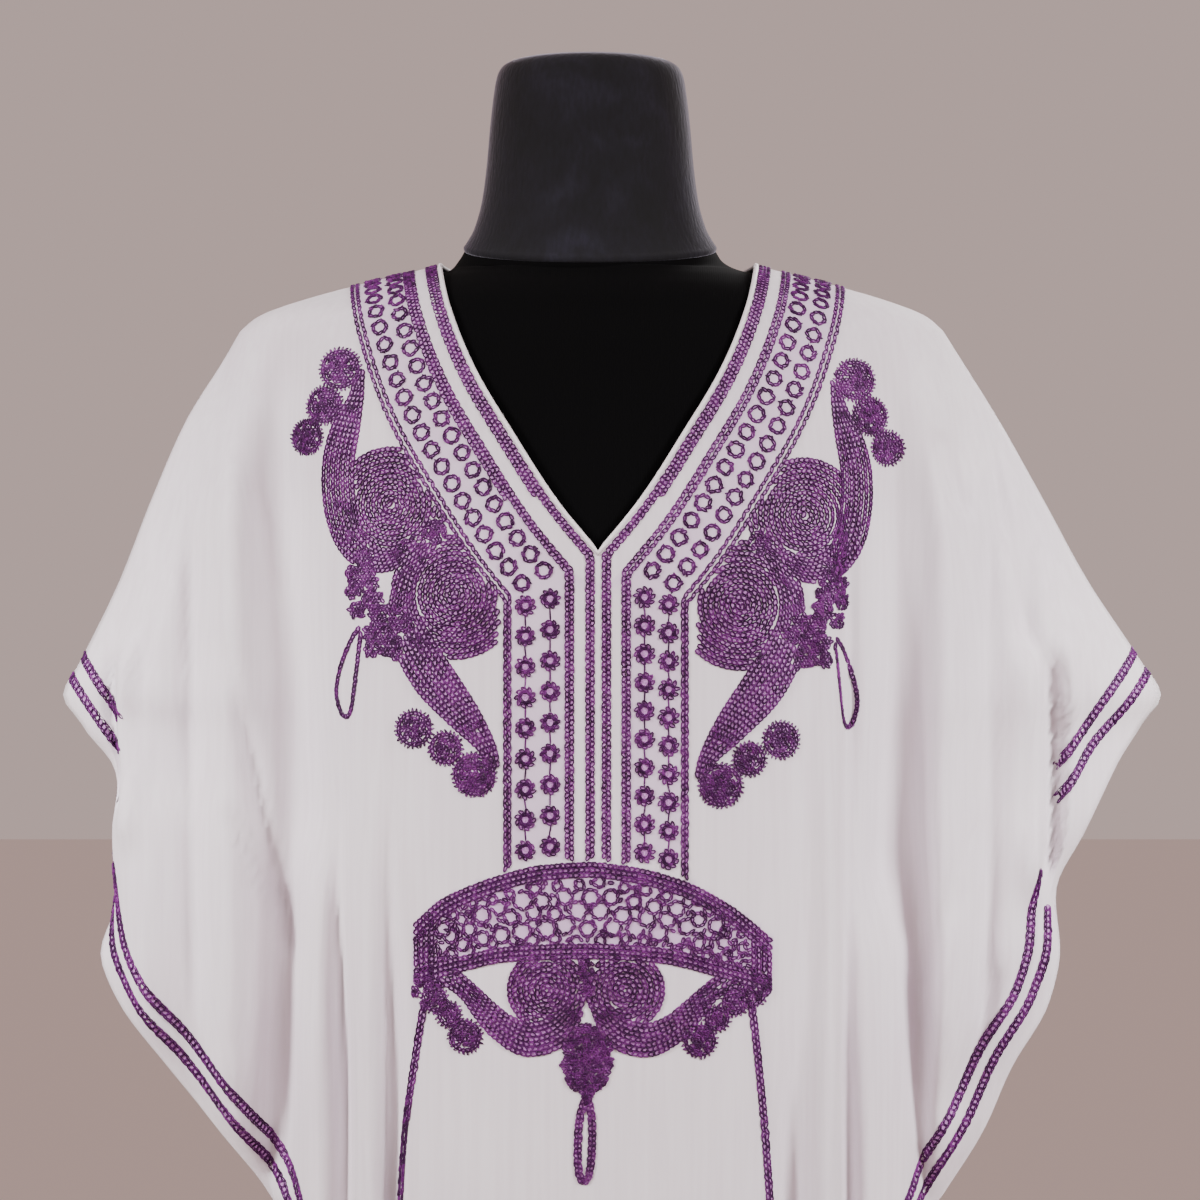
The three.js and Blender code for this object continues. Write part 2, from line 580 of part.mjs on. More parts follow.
// The chest scrolls: two discs, each with a stem that ends in three balls, and a knot between them.
const CHEST_SCROLLS = {
  left: {
    discs: [{ x: -128, drop: 150, radius: 35 }, { x: -89, drop: 212, radius: 32 }],
    balls: [
      { x: -155, drop: 71, radius: 13 }, { x: -166, drop: 91, radius: 11 },
      { x: -175, drop: 111, radius: 10 }, { x: -110, drop: 288, radius: 11 },
      { x: -92, drop: 298, radius: 11 }, { x: -74, drop: 315, radius: 13 },
    ],
    stems: [
      [{ x: -150, drop: 167, wide: 22 }, { x: -160, drop: 137, wide: 18 }, { x: -158, drop: 105, wide: 14 },
        { x: -150, drop: 75, wide: 10 }],
      [{ x: -106, drop: 231, wide: 24 }, { x: -104, drop: 255, wide: 20 }, { x: -88, drop: 283, wide: 16 },
        { x: -70, drop: 309, wide: 11 }],
      [{ x: -140, drop: 179, wide: 16 }, { x: -141, drop: 209, wide: 15 }, { x: -138, drop: 235, wide: 22 },
        { x: -112, drop: 235, wide: 14 }],
    ],
  },
  right: {
    discs: [{ x: 127, drop: 156, radius: 35 }, { x: 89, drop: 217, radius: 32 }],
    balls: [
      { x: 156, drop: 81, radius: 13 }, { x: 166, drop: 100, radius: 11 },
      { x: 171, drop: 118, radius: 10 }, { x: 102, drop: 293, radius: 10 },
      { x: 87, drop: 304, radius: 11 }, { x: 69, drop: 321, radius: 13 },
    ],
    stems: [
      [{ x: 148, drop: 173, wide: 22 }, { x: 157, drop: 143, wide: 18 }, { x: 155, drop: 111, wide: 14 },
        { x: 150, drop: 85, wide: 10 }],
      [{ x: 104, drop: 237, wide: 24 }, { x: 101, drop: 261, wide: 20 }, { x: 84, drop: 289, wide: 16 },
        { x: 67, drop: 315, wide: 11 }],
      [{ x: 138, drop: 185, wide: 14 }, { x: 139, drop: 215, wide: 14 }, { x: 132, drop: 241, wide: 22 },
        { x: 110, drop: 241, wide: 14 }],
    ],
  },
};
for (const [name, { discs, balls, stems }] of Object.entries(CHEST_SCROLLS)) {
  const scroll = join([...discs.map(disc), ...balls.map(disc), ...stems.map(stroke)]);
  addPiece(`scroll_${name}`, onFront(scroll.subtract(bandRoom)), 'thread');
}

// The waist plate: a lens between two arcs, with straight ends. x and half give its width.
const PLATE = { x: -2, half: 107, top: 369, topRadius: 165, bottom: 418, bottomRadius: 230 };
function waistPlate(margin) {
  const half = PLATE.half + margin;
  const topRadius = PLATE.topRadius + margin;
  const bottomRadius = PLATE.bottomRadius - margin;
  const outline = new THREE.Shape();
  const arch = (centre, radius, way) => {
    const lean = way * Math.asin(half / radius);
    outline.absarc(PLATE.x, -centre, radius, Math.PI / 2 + lean, Math.PI / 2 - lean, way > 0);
  };
  arch(PLATE.top + PLATE.topRadius, topRadius, 1);
  arch(PLATE.bottom + PLATE.bottomRadius, bottomRadius, -1);
  return prism(outline);
}
addPiece('waist_plate', onFront(waistPlate(0)), 'thread');

// Under the plate: two discs, stems that sweep out to its ends, balls and the pendant.
const WAIST_SCROLL = {
  discs: [
    { x: -28, drop: 445, radius: 23 }, { x: 19, drop: 445, radius: 22 },
    { x: -5, drop: 485, radius: 13 }, { x: -5, drop: 497, radius: 10 },
    { x: -90, drop: 461, radius: 8 }, { x: -76, drop: 468, radius: 8.5 },
    { x: 76, drop: 465, radius: 8 }, { x: 62, drop: 470, radius: 8.5 },
  ],
  stems: [
    [{ x: -34, drop: 461, wide: 12 }, { x: -60, drop: 461, wide: 11 }, { x: -84, drop: 455, wide: 10 },
      { x: -100, drop: 459, wide: 9 }],
    [{ x: 24, drop: 461, wide: 12 }, { x: 48, drop: 465, wide: 11 }, { x: 72, drop: 457, wide: 10 },
      { x: 94, drop: 461, wide: 9 }],
    [{ x: -5, drop: 449, wide: 14 }, { x: -5, drop: 479, wide: 12 }],
  ],
};
const waistScroll = join([...WAIST_SCROLL.discs.map(disc), ...WAIST_SCROLL.stems.map(stroke)]);
addPiece('waist_scroll', onFront(waistScroll.subtract(waistPlate(SEAM_GAP))), 'thread');

// Chain lines from the plate's ends down to the hem. They spread with the skirt.
const LINE_WIDE = 4;
const LINE_ROWS = [
  { drop: 471, left: 109, right: 95 },
  { drop: 628, left: 118, right: 106 },
  { drop: 1389, left: 118, right: 106 },
];
const LINE_STEPS = 16;
for (const side of [LEFT, RIGHT]) {
  const rows = [];
  for (let i = 0; i <= LINE_STEPS; i += 1) {
    const drop = mix(LINE_ROWS[0].drop, LINE_ROWS[2].drop, i / LINE_STEPS);
    const out = read(LINE_ROWS, 'drop', sideName(side), drop) * spread(side, drop);
    rows.push({ x: side * out, drop, wide: LINE_WIDE });
  }
  addPiece(`skirt_line_${sideName(side)}`, onFront(stroke(rows)), 'thread');
}

// Braids beside the cuffs, on the panel's own points between its two middle cuff columns.
function cuffTrim(sheet, side) {
  const first = UPPER_ROWS.indexOf(CORNER_DROP);
  const columns = [sheet.count - 2, sheet.count - 1].map((column) => side * column);
  columns.sort((a, b) => a - b);
  const rowCount = sheet.tipRow - first;
  const corners = [];
  for (let row = 0; row < rowCount; row += 1) {
    for (const column of columns) corners.push(sheet.at(first + row, column));
  }
  const triangles = [];
  for (let row = 0; row + 1 < rowCount; row += 1) {
    const [a, b, c, d] = [2 * row, 2 * row + 1, 2 * row + 3, 2 * row + 2];
    triangles.push([a, d, c], [a, c, b]);
  }
  if (sheet.facing > 0) triangles.forEach((triangle) => triangle.reverse());
  const points = corners.map((i) => sheet.points[i]);
  const normals = corners.map((i) => sheet.normals[i]);
  return wall({ points, triangles, normals }, SEAM_GAP, SEAM_GAP + THREAD);
}
for (const [name, sheet] of Object.entries({ front, back })) {
  for (const side of [LEFT, RIGHT]) {
    addPiece(`cuff_trim_${name}_${sideName(side)}`, cuffTrim(sheet, side), 'thread');
  }
}

// ---------------------------------------------------------------- the dress form and its stand

const FORM_SIDES = 32;

const NECK_SHIFT = -5;          // the neck stands a little to the left of the shoulders' middle
const SHIFT_TOP = -4;           // drop above which rings take the whole shift
const SHIFT_END = 9;            // drop at which none is left

// The torso by height. half = half width; front, back = depths at the middle; tilt = how much
// lower a ring is in front than at its sides.
const TORSO = [
  { drop: -9, half: 79, front: 63, back: 63, tilt: 12 },
  { drop: -4, half: 82, front: 63, back: 63, tilt: 10 },
  { drop: 0, half: 86, front: 61, back: 62, tilt: 5 },
  { drop: 4, half: 93, front: 62, back: 62, tilt: 0 },
  { drop: 9, half: 117, front: 66, back: 67, tilt: 0 },
  { drop: 16, half: 148, front: 74, back: 75, tilt: 0 },
  { drop: 24, half: 176, front: 81, back: 82, tilt: 0 },
  { drop: 34, half: 199, front: 86, back: 87, tilt: 0 },
  { drop: 52, half: 205, front: 95, back: 96, tilt: 0 },
  { drop: 84, half: 200, front: 104, back: 108, tilt: 0 },
  { drop: 115, half: 190, front: 111, back: 114, tilt: 0 },
  { drop: 155, half: 179, front: 119, back: 116, tilt: 0 },
  { drop: 195, half: 170, front: 125, back: 113, tilt: 0 },
  { drop: 240, half: 162, front: 127, back: 107, tilt: 0 },
  { drop: 290, half: 152, front: 116, back: 98, tilt: 0 },
  { drop: 350, half: 138, front: 96, back: 86, tilt: 0 },
  { drop: 412, half: 131, front: 86, back: 80, tilt: 0 },
  { drop: 482, half: 148, front: 92, back: 94, tilt: 0 },
  { drop: 562, half: 170, front: 104, back: 112, tilt: 0 },
  { drop: 632, half: 173, front: 106, back: 116, tilt: 0 },
  { drop: 662, half: 169, front: 102, back: 112, tilt: 0 },
  { drop: 670, half: 159, front: 92, back: 102, tilt: 0 },
];
const NECK_CAP = [
  { drop: -9 - SEAM_GAP, half: 79, front: 63, back: 63, tilt: 12 },
  { drop: -13, half: 78, front: 62.5, back: 62.5, tilt: 11 },
  { drop: -23, half: 73, front: 61, back: 61, tilt: 9 },
  { drop: -41, half: 68, front: 59, back: 59, tilt: 6 },
  { drop: -64, half: 65, front: 58, back: 58, tilt: 3 },
  { drop: -87, half: 63, front: 57, back: 57, tilt: 1 },
  { drop: -119, half: 58.5, front: 54, back: 54, tilt: 0 },
  { drop: -125, half: 55.5, front: 51, back: 51, tilt: 0 },
  { drop: -129, half: 48, front: 44, back: 44, tilt: 0 },
];

// A closed solid through oval rings, from the first row to the last.
function ringLoft(rows, endRise) {
  const positions = [];
  const shiftAt = (drop) => NECK_SHIFT * (1 - ease((drop - SHIFT_TOP) / (SHIFT_END - SHIFT_TOP)));
  for (const { drop, half, front: ahead, back: behind, tilt } of rows) {
    for (let k = 0; k < FORM_SIDES; k += 1) {
      const angle = (2 * Math.PI * k) / FORM_SIDES;
      const across = Math.sin(angle);
      positions.push(shiftAt(drop) + half * Math.cos(angle), across < 0 ? ahead * across : behind * across,
        NECK_HEIGHT - drop + tilt * across);
    }
  }
  const rings = rows.length;
  const end = (row, rise) => {
    positions.push(shiftAt(row.drop), 0, NECK_HEIGHT - row.drop + rise);
    return positions.length / 3 - 1;
  };
  const firstEnd = end(rows[0], 0);
  const lastEnd = end(rows[rings - 1], endRise);
  const faces = [];
  for (let k = 0; k < FORM_SIDES; k += 1) {
    const next = (k + 1) % FORM_SIDES;
    for (let ring = 0; ring + 1 < rings; ring += 1) {
      const [a, b] = [ring * FORM_SIDES + k, ring * FORM_SIDES + next];
      const [c, d] = [b + FORM_SIDES, a + FORM_SIDES];
      faces.push(a, c, b, a, d, c);
    }
    const last = (rings - 1) * FORM_SIDES;
    faces.push(firstEnd, k, next, lastEnd, last + next, last + k);
  }
  if (rows[0].drop > rows[rings - 1].drop) faces.reverse();
  const geometry = new THREE.BufferGeometry();
  geometry.setAttribute('position', new THREE.Float32BufferAttribute(positions, 3));
  geometry.setIndex(faces);
  return geometry;
}
addPiece('form_torso', ringLoft(TORSO, 0), 'jersey');
addPiece('form_neck_cap', ringLoft(NECK_CAP, 1.5), 'velvet');

const TORSO_END = NECK_HEIGHT - TORSO[TORSO.length - 1].drop;
const BASE = { radius: 165, thick: 12, bossRadius: 26, bossTop: 30, round: 3 };
const POLE_RADIUS = 14;
const POLE_SIDES = 24;
const BASE_SIDES = 36;
const baseProfile = [
  { radius: 0, height: 0 },
  { radius: BASE.radius - BASE.round, height: 0 },
  { radius: BASE.radius, height: BASE.round },
  { radius: BASE.radius, height: BASE.thick - BASE.round },
  { radius: BASE.radius - BASE.round, height: BASE.thick },
  { radius: BASE.bossRadius + 2 * BASE.round, height: BASE.thick + BASE.round },
  { radius: BASE.bossRadius, height: BASE.bossTop - BASE.thick + BASE.round },
  { radius: BASE.bossRadius - BASE.round, height: BASE.bossTop },
  { radius: 0, height: BASE.bossTop },
].map(({ radius, height }) => new THREE.Vector2(radius, height));
const base = addPiece('stand_base', new THREE.LatheGeometry(baseProfile, BASE_SIDES), 'steel');
base.rotation.x = Math.PI / 2;
const poleBottom = BASE.bossTop + SEAM_GAP;
const poleTop = TORSO_END - SEAM_GAP;
const poleShape = new THREE.CylinderGeometry(POLE_RADIUS, POLE_RADIUS, poleTop - poleBottom, POLE_SIDES);
const pole = addPiece('stand_pole', poleShape, 'steel');
pole.rotation.x = Math.PI / 2;
pole.position.z = (poleTop + poleBottom) / 2;

export default kaftan;
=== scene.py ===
"""A long white batwing kaftan with purple chain-stitch embroidery, on a black dress form.

Heights on the garment are drops: millimetres below the neck point of the shoulders. Places on its
front are (x, drop), as seen from the front, with x in millimetres from the middle.
"""

import math
from functools import partial

import bmesh
import bpy
import numpy as np
from mathutils import Matrix, Vector, noise
from mathutils.bvhtree import BVHTree


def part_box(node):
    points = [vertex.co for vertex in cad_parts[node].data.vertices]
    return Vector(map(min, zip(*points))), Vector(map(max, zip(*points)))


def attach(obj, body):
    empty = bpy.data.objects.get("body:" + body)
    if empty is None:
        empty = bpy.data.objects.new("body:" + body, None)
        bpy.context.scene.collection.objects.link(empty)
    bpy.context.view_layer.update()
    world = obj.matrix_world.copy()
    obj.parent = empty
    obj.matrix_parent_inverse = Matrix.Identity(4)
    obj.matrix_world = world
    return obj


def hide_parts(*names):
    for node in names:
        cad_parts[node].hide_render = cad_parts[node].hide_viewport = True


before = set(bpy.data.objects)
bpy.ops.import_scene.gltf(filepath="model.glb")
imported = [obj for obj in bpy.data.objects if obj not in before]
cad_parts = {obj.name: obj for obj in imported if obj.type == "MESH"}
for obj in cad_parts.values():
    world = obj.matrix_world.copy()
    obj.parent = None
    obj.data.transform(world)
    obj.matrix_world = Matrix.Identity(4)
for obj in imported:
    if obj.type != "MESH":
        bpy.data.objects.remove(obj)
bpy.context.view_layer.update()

# ---------------------------------------------------------------- the kaftan's front and back
# Two panels of matt white crepe, each cut in one with its batwing sleeves. They are joined along
# the shoulders, the overarm folds and the side seams, and hang from the form in long soft folds.

MM = 0.001
NECK_HEIGHT = 1509
SIDES = {"left": -1, "right": 1}
CREPE_THICK = 0.9

NECK_HALF = 99
TIP_DROP = 41
UNDERARM_DROP = 628
HEM_DROP = 1405
LEVEL_DROP = 345


def columns(names, *rows):
    """A table, as one array for each named column."""
    return dict(zip(names.split(), np.array(rows, float).T))


SHOULDER_LINE = columns("share drop", (0, 0), (0.48, 14.5), (0.77, 25), (0.91, 32), (1, TIP_DROP))
SHOULDER_SHARES = np.linspace(0, 1, 500)
FRONT_NECK = columns("out drop", (0, 182), (26, 150), (53, 108), (76, 69), (92, 29), (NECK_HALF, 0))
BACK_NECK = columns("out drop", (0, 17), (62, 11), (NECK_HALF, 0))
REACH = columns(
    "drop left right",
    (TIP_DROP, 225, 217),
    (60, 236, 229),
    (97, 259, 252),
    (147, 281, 280),
    (198, 301, 308),
    (248, 325, 341),
    (270, 336, 354),
    (288, 325, 341),
    (312, 321, 324),
    (353, 332, 306),
    (390, 328, 294),
    (425, 318, 291),
    (460, 299, 281),
    (499, 268, 258),
    (540, 236, 240),
    (581, 206, 216),
    (UNDERARM_DROP, 187, 188),
    (700, 191, 192),
    (920, 212, 214),
    (1160, 244, 246),
    (HEM_DROP, 278, 278),
)
BODY = columns(
    "drop divide front back ease",
    (0, 124, 68, 68, 30),
    (TIP_DROP, 156, 95, 97, 30),
    (84, 173, 109, 114, 30),
    (145, 181, 122, 122, 30),
    (222, 182, 132, 120, 30),
    (340, 186, 134, 116, 26),
    (445, 192, 132, 118, 16),
    (581, 193, 132, 128, 12),
    (UNDERARM_DROP, 186, 132, 130, 12),
    (920, 186, 138, 140, 12),
    (HEM_DROP, 186, 160, 168, 12),
)
# left and right are the degrees that the cuff's edge turns back behind its outer pipe.
SLEEVE = columns(
    "drop depth open flat pocket left right",
    (0, 0, 0, 0, 0, 0, 0),
    (TIP_DROP, 8, 0, 0, 0, 0, 0),
    (94, 52, 0, 0, 0.02, 0, 0),
    (177, 66, 0, 0, 0.15, 0, 0),
    (270, 68, 0, 0.2, 0.36, 8, 0),
    (312, 68, 20, 0.8, 0.5, 85, 10),
    (353, 70, 30, 1, 0.64, 140, 35),
    (390, 70, 34, 1, 0.8, 125, 60),
    (436, 68, 36, 1, 0.88, 45, 35),
    (499, 60, 32, 1, 0.92, 12, 12),
    (581, 40, 16, 1, 0.9, 0, 0),
    (UNDERARM_DROP, 4, 0, 0, 0, 0, 0),
)
# Each fold runs from (x, start) to (to_x, end). wide is its half width, rise the height of its ridge
# at the lower end, below zero for a trough, and lean how far its crest tips out from the middle.
FOLDS = {
    "front": [
        # Long folds beside the body, from the chest to the hem.
        ("left", 106, 620, 108, 1330, 6, -7, 0),
        ("left", 125, 250, 127, 1405, 6, -17, 0),
        ("left", 141, 230, 141, 1405, 9, 10, 0),
        ("left", 156, 200, 155, 1405, 6.5, -20, 0),
        ("left", 171, 300, 170, 1200, 9, 10, 2),
        ("right", 118, 420, 121, 1405, 7, -12, 0),
        ("right", 137, 110, 139, 1405, 9, 17, 4),
        ("right", 151, 40, 152.5, 1405, 7, -19, 0),
        ("right", 170, 300, 171, 1250, 9, 6, -2),
        ("right", 184, 400, 186, 780, 10, 6, 0),
        # The trough that parts each sleeve from the body, and the crest beside it.
        ("left", 200, 20, 176, 330, 18, -18, 0),
        ("left", 229, 50, 226, 560, 15, 16, 0),
        ("left", 190, 330, 192, 760, 6, -12, 0),
        ("right", 186, 30, 172, 360, 18, -16, 0),
        ("right", 212, 60, 212, 520, 12, 16, -2),
        # Softer folds down the sleeves.
        ("left", 251, 150, 250, 420, 5, -7, 0),
        ("left", 270, 155, 282, 490, 16, 9, 3),
        ("left", 267, 140, 285, 300, 5, -5, 0),
        ("right", 248, 120, 239, 430, 6, -8, 0),
        ("right", 238, 90, 262, 222, 5, -6, 0),
        ("right", 268, 140, 262, 330, 6, -6, 0),
        ("right", 288, 210, 282, 420, 9, 7, 4),
        # The pleat where each sleeve's front folds over its cuff.
        ("left", 300, 240, 299, 330, 5, -14, 0),
        ("left", 288, 225, 288, 345, 8, 9, 6),
        ("right", 280, 236, 279, 368, 6, -17, 0),
        ("right", 266, 225, 264, 374, 8, 10, 7),
        # Drag lines that run down into the pockets between body and sleeves.
        ("left", 241, 206, 192, 404, 4.5, -7, 0),
        ("left", 231, 334, 199, 390, 3.5, -5, 0),
        ("left", 217, 374, 195, 418, 3.5, -5, 0),
        ("right", 236, 340, 206, 420, 4, -5, 0),
        ("right", 228, 380, 204, 440, 4, -4, 0),
        ("right", 212, 104, 224, 150, 6, -7, 0),
        ("right", 250, 430, 222, 520, 6, -6, 0),
        # Slack in the middle of the skirt.
        ("left", 20, 860, 24, 1405, 16, 10, 0),
        ("left", 46, 560, 44, 1120, 7, -4, 0),
        ("left", 56, 700, 60, 1405, 12, -14, 0),
        ("left", 86, 780, 88, 1405, 12, 16, 0),
        ("right", 8, 900, 6, 1405, 12, -11, 0),
        ("right", 38, 740, 40, 1405, 12, -12, 0),
        ("right", 64, 600, 66, 1300, 7, -5, 0),
        ("right", 76, 720, 80, 1405, 12, 17, 0),
        ("right", 97, 700, 100, 1330, 7, -8, 0),
    ],
    "back": [
        ("left", 24, 340, 22, 1405, 9, -13, 0),
        ("left", 58, 250, 66, 1405, 17, 20, 0),
        ("left", 84, 300, 86, 1320, 6, -10, 0),
        ("left", 112, 190, 110, 1405, 12, -13, 0),
        ("left", 131, 210, 131, 1390, 6, -9, 0),
        ("left", 150, 165, 148, 1405, 12, 20, 3),
        ("left", 188, 330, 188, 720, 6, -14, 0),
        ("left", 233, 115, 240, 520, 15, 15, 0),
        ("left", 252, 160, 262, 400, 6, -9, 0),
        ("left", 238, 320, 204, 420, 5, -6, 0),
        ("left", 276, 200, 270, 480, 9, -8, 0),
        ("right", 10, 260, 14, 1405, 10, 13, 0),
        ("right", 46, 290, 54, 1405, 15, 18, 0),
        ("right", 73, 310, 75, 1350, 6, -10, 0),
        ("right", 98, 210, 96, 1405, 13, -14, 0),
        ("right", 122, 230, 121, 1390, 6, -12, 0),
        ("right", 144, 180, 142, 1405, 12, 22, 0),
        ("right", 187, 350, 188, 700, 6, -14, 0),
        ("right", 218, 130, 224, 300, 10, 8, 0),
        ("right", 237, 105, 243, 520, 15, 12, 0),
        ("right", 258, 150, 268, 380, 6, -9, 0),
        ("right", 232, 340, 202, 430, 5, -6, 0),
        ("right", 290, 220, 278, 460, 9, -9, 0),
    ],
}
# The sway of each fold's line down the cloth, as (millimetres, drop per radian, phase by x), and the
# unevenness of its depth, as (share, drop per radian, phase by x).
FOLD_SWAY = ((1.8, 97, 1), (1.1, 41, 2))
FOLD_UNEVEN = (0.2, 73, 1.7)
FOLD_FADE = 0.22
FOLD_START = 0.85
BODY_ROUND = 0.56
SIDE_BLEND = 120
POCKET_IN = 7
POCKET_WIDE = 17
PIPE = 50
EDGE_FADE = 20
TURN_LEAST = 0.01
SEAM_GAP = 0.05
PANELS = {
    "front": {"facing": -1, "neck": FRONT_NECK},
    "back": {"facing": 1, "neck": BACK_NECK},
}


def mix(a, b, share):
    return a + (b - a) * share


def ease(value):
    t = np.clip(value, 0, 1)
    return t * t * (3 - 2 * t)


def read(table, source, target, value):
    """Reads one column of a table at values of another, on a smooth curve that never overshoots."""
    x, y = table[source], table[target]
    rise = np.diff(y) / np.diff(x)
    product = rise[:-1] * rise[1:]
    inner = np.where(product > 0, 2 * product / np.where(product > 0, rise[:-1] + rise[1:], 1), 0)
    slope = np.concatenate([rise[:1], inner, rise[-1:]])
    value = np.clip(value, x[0], x[-1])
    i = np.clip(np.searchsorted(x, value, side="right") - 1, 0, len(x) - 2)
    span = x[i + 1] - x[i]
    t = (value - x[i]) / span
    return (
        (1 + 2 * t) * (1 - t) ** 2 * y[i]
        + t * (1 - t) ** 2 * slope[i] * span
        + t * t * (3 - 2 * t) * y[i + 1]
        + t * t * (t - 1) * slope[i + 1] * span
    )


def shoulder_drop(side, out):
    share = (out - NECK_HALF) / (REACH[side][0] - NECK_HALF)
    return read(SHOULDER_LINE, "share", "drop", share)


def reach_at(side, drop):
    """How far the cloth reaches to one side at a drop."""
    share = np.interp(drop, read(SHOULDER_LINE, "share", "drop", SHOULDER_SHARES), SHOULDER_SHARES)
    on_shoulder = mix(NECK_HALF, REACH[side][0], share)
    return np.where(drop >= TIP_DROP, read(REACH, "drop", side, drop), on_shoulder)


def plain_depth(panel, side, out, drop):
    """Depth of the unfolded cloth in front of or behind the seams."""
    reach = np.maximum(reach_at(side, drop), out)
    across = np.clip(out / reach, 0, 1)
    middle = read(BODY, "drop", panel, drop)
    divide = read(BODY, "drop", "divide", drop)
    parted = ease((drop - TIP_DROP) / SIDE_BLEND)
    body_reach = mix(reach, np.minimum(reach, divide + read(BODY, "drop", "ease", drop)), parted)
    body_half = mix(body_reach, reach, ease((drop - UNDERARM_DROP) / SIDE_BLEND))
    body = middle * np.maximum(0, 1 - (out / body_half) ** 2) ** BODY_ROUND
    depth, opened, flat, pocket = (
        read(SLEEVE, "drop", column, drop) for column in ("depth", "open", "flat", "pocket")
    )
    sink = 1 - pocket * np.exp(-(((out - divide + POCKET_IN) / POCKET_WIDE) ** 2))
    round_share = np.maximum(0, 1 - across**3) ** mix(0.5, 1, flat)
    sleeve = (opened + (depth - opened) * round_share) * sink
    return (body**4 + sleeve**4) ** 0.25


def spread(side, drop):
    """How much wider the skirt is than the body at the underarm."""
    lower = reach_at(side, np.maximum(drop, UNDERARM_DROP))
    return np.maximum(1, lower / reach_at(side, UNDERARM_DROP))


def fold_shift(panel, side, out, drop):
    """How far the folds move the cloth forward and outward."""
    forward = np.zeros_like(out)
    outward = np.zeros_like(out)
    narrow = out / spread(side, drop)
    for where, x, start, to_x, end, wide, rise, lean in FOLDS[panel]:
        if where != side:
            continue
        along = (drop - start) / (end - start)
        place = mix(x, to_x, along)
        for sway, length, phase in FOLD_SWAY:
            place = place + sway * np.sin(drop / length + phase * x)
        grown = ease(along / FOLD_FADE) * (1 - ease((along - 1) / FOLD_FADE))
        uneven, length, phase = FOLD_UNEVEN
        grown = grown * mix(FOLD_START, 1, np.clip(along, 0, 1))
        grown = grown * (1 + uneven * np.sin(drop / length + phase * x))
        bell = np.exp(-(((narrow - place) / wide) ** 2)) * grown
        forward += rise * bell
        outward += lean * bell
    return forward, outward


def cloth_points(panel, side, out, drop):
    """Points of one side of a panel, in metres. out is measured from the middle in the cloth."""
    out, drop = np.broadcast_arrays(np.asarray(out, float), np.asarray(drop, float))
    reach = reach_at(side, drop)
    turn = np.radians(read(SLEEVE, "drop", side, drop))
    past = np.maximum(0, out - (reach - PIPE))
    edge_fade = ease((reach - out) / EDGE_FADE)
    forward, outward = (shift * edge_fade for shift in fold_shift(panel, side, out, drop))
    depth = plain_depth(panel, side, out, drop) + forward
    across = out + outward
    turned = (turn > TURN_LEAST) & (past > 0)
    radius = PIPE / np.maximum(turn, TURN_LEAST)
    angle = past / radius
    before = plain_depth(panel, side, reach - PIPE, drop)
    turned_depth = before - radius * (1 - np.cos(angle)) + forward
    across = np.where(turned, reach - PIPE + radius * np.sin(angle) + outward, across)
    depth = np.where(turned, mix(depth, turned_depth, np.clip(turn, 0, 1)), depth)
    y = PANELS[panel]["facing"] * (depth + SEAM_GAP)
    return np.stack([SIDES[side] * across, y, NECK_HEIGHT - drop], axis=-1) * MM


BODY_COLUMNS = 54
SLEEVE_COLUMNS = 34
UPPER_ROWS = 106
SKIRT_ROWS = 50
ROW_EASE = 1.4
SLACK = 3.0
SLACK_FADE = 60
SLACK_TOP = 90
SLACK_GROWS = 120
SLACK_SCALE = Matrix.Diagonal((15, 3, 5))


def panel_places(panel, side, column, row):
    """(out, drop) of the grid's corners: rows follow the neck and shoulder above, and are level below."""
    upper = np.clip(row / UPPER_ROWS, 0, 1) ** ROW_EASE
    lower = np.clip((row - UPPER_ROWS) / SKIRT_ROWS, 0, 1)
    outer = mix(TIP_DROP, UNDERARM_DROP, upper) + lower * (HEM_DROP - UNDERARM_DROP)
    body_share = np.minimum(column / BODY_COLUMNS, 1)
    sleeve_share = np.clip((column - BODY_COLUMNS) / SLEEVE_COLUMNS, 0, 1)
    divide, reach = read(BODY, "drop", "divide", outer), reach_at(side, outer)
    above = body_share * divide + sleeve_share * (reach - divide)
    out = np.where(row > UPPER_ROWS, body_share * reach, above)
    tip_divide = read(BODY, "drop", "divide", TIP_DROP)
    start = body_share * tip_divide + sleeve_share * (REACH[side][0] - tip_divide)
    neck = read(PANELS[panel]["neck"], "out", "drop", start)
    top = np.where(start < NECK_HALF, neck, shoulder_drop(side, start))
    fade = 1 - ease((outer - TIP_DROP) / (LEVEL_DROP - TIP_DROP))
    return out, outer + (top - TIP_DROP) * fade


def new_object(name, bm, *materials):
    """Turns a bmesh into an object with smooth faces, and rides it on the one body."""
    mesh = bpy.data.meshes.new(name)
    bm.to_mesh(mesh)
    bm.free()
    return show_mesh(name, mesh, *materials)


def show_mesh(name, mesh, *materials):
    for polygon in mesh.polygons:
        polygon.use_smooth = True
    for material in materials:
        mesh.materials.append(material)
    made = bpy.data.objects.new(name, mesh)
    bpy.context.collection.objects.link(made)
    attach(made, "root")
    return made


def colour(code):
    """An sRGB hex colour as linear RGBA."""
    parts = [int(code[i : i + 2], 16) / 255 for i in (1, 3, 5)]
    return (*[p / 12.92 if p <= 0.04045 else ((p + 0.055) / 1.055) ** 2.4 for p in parts], 1)


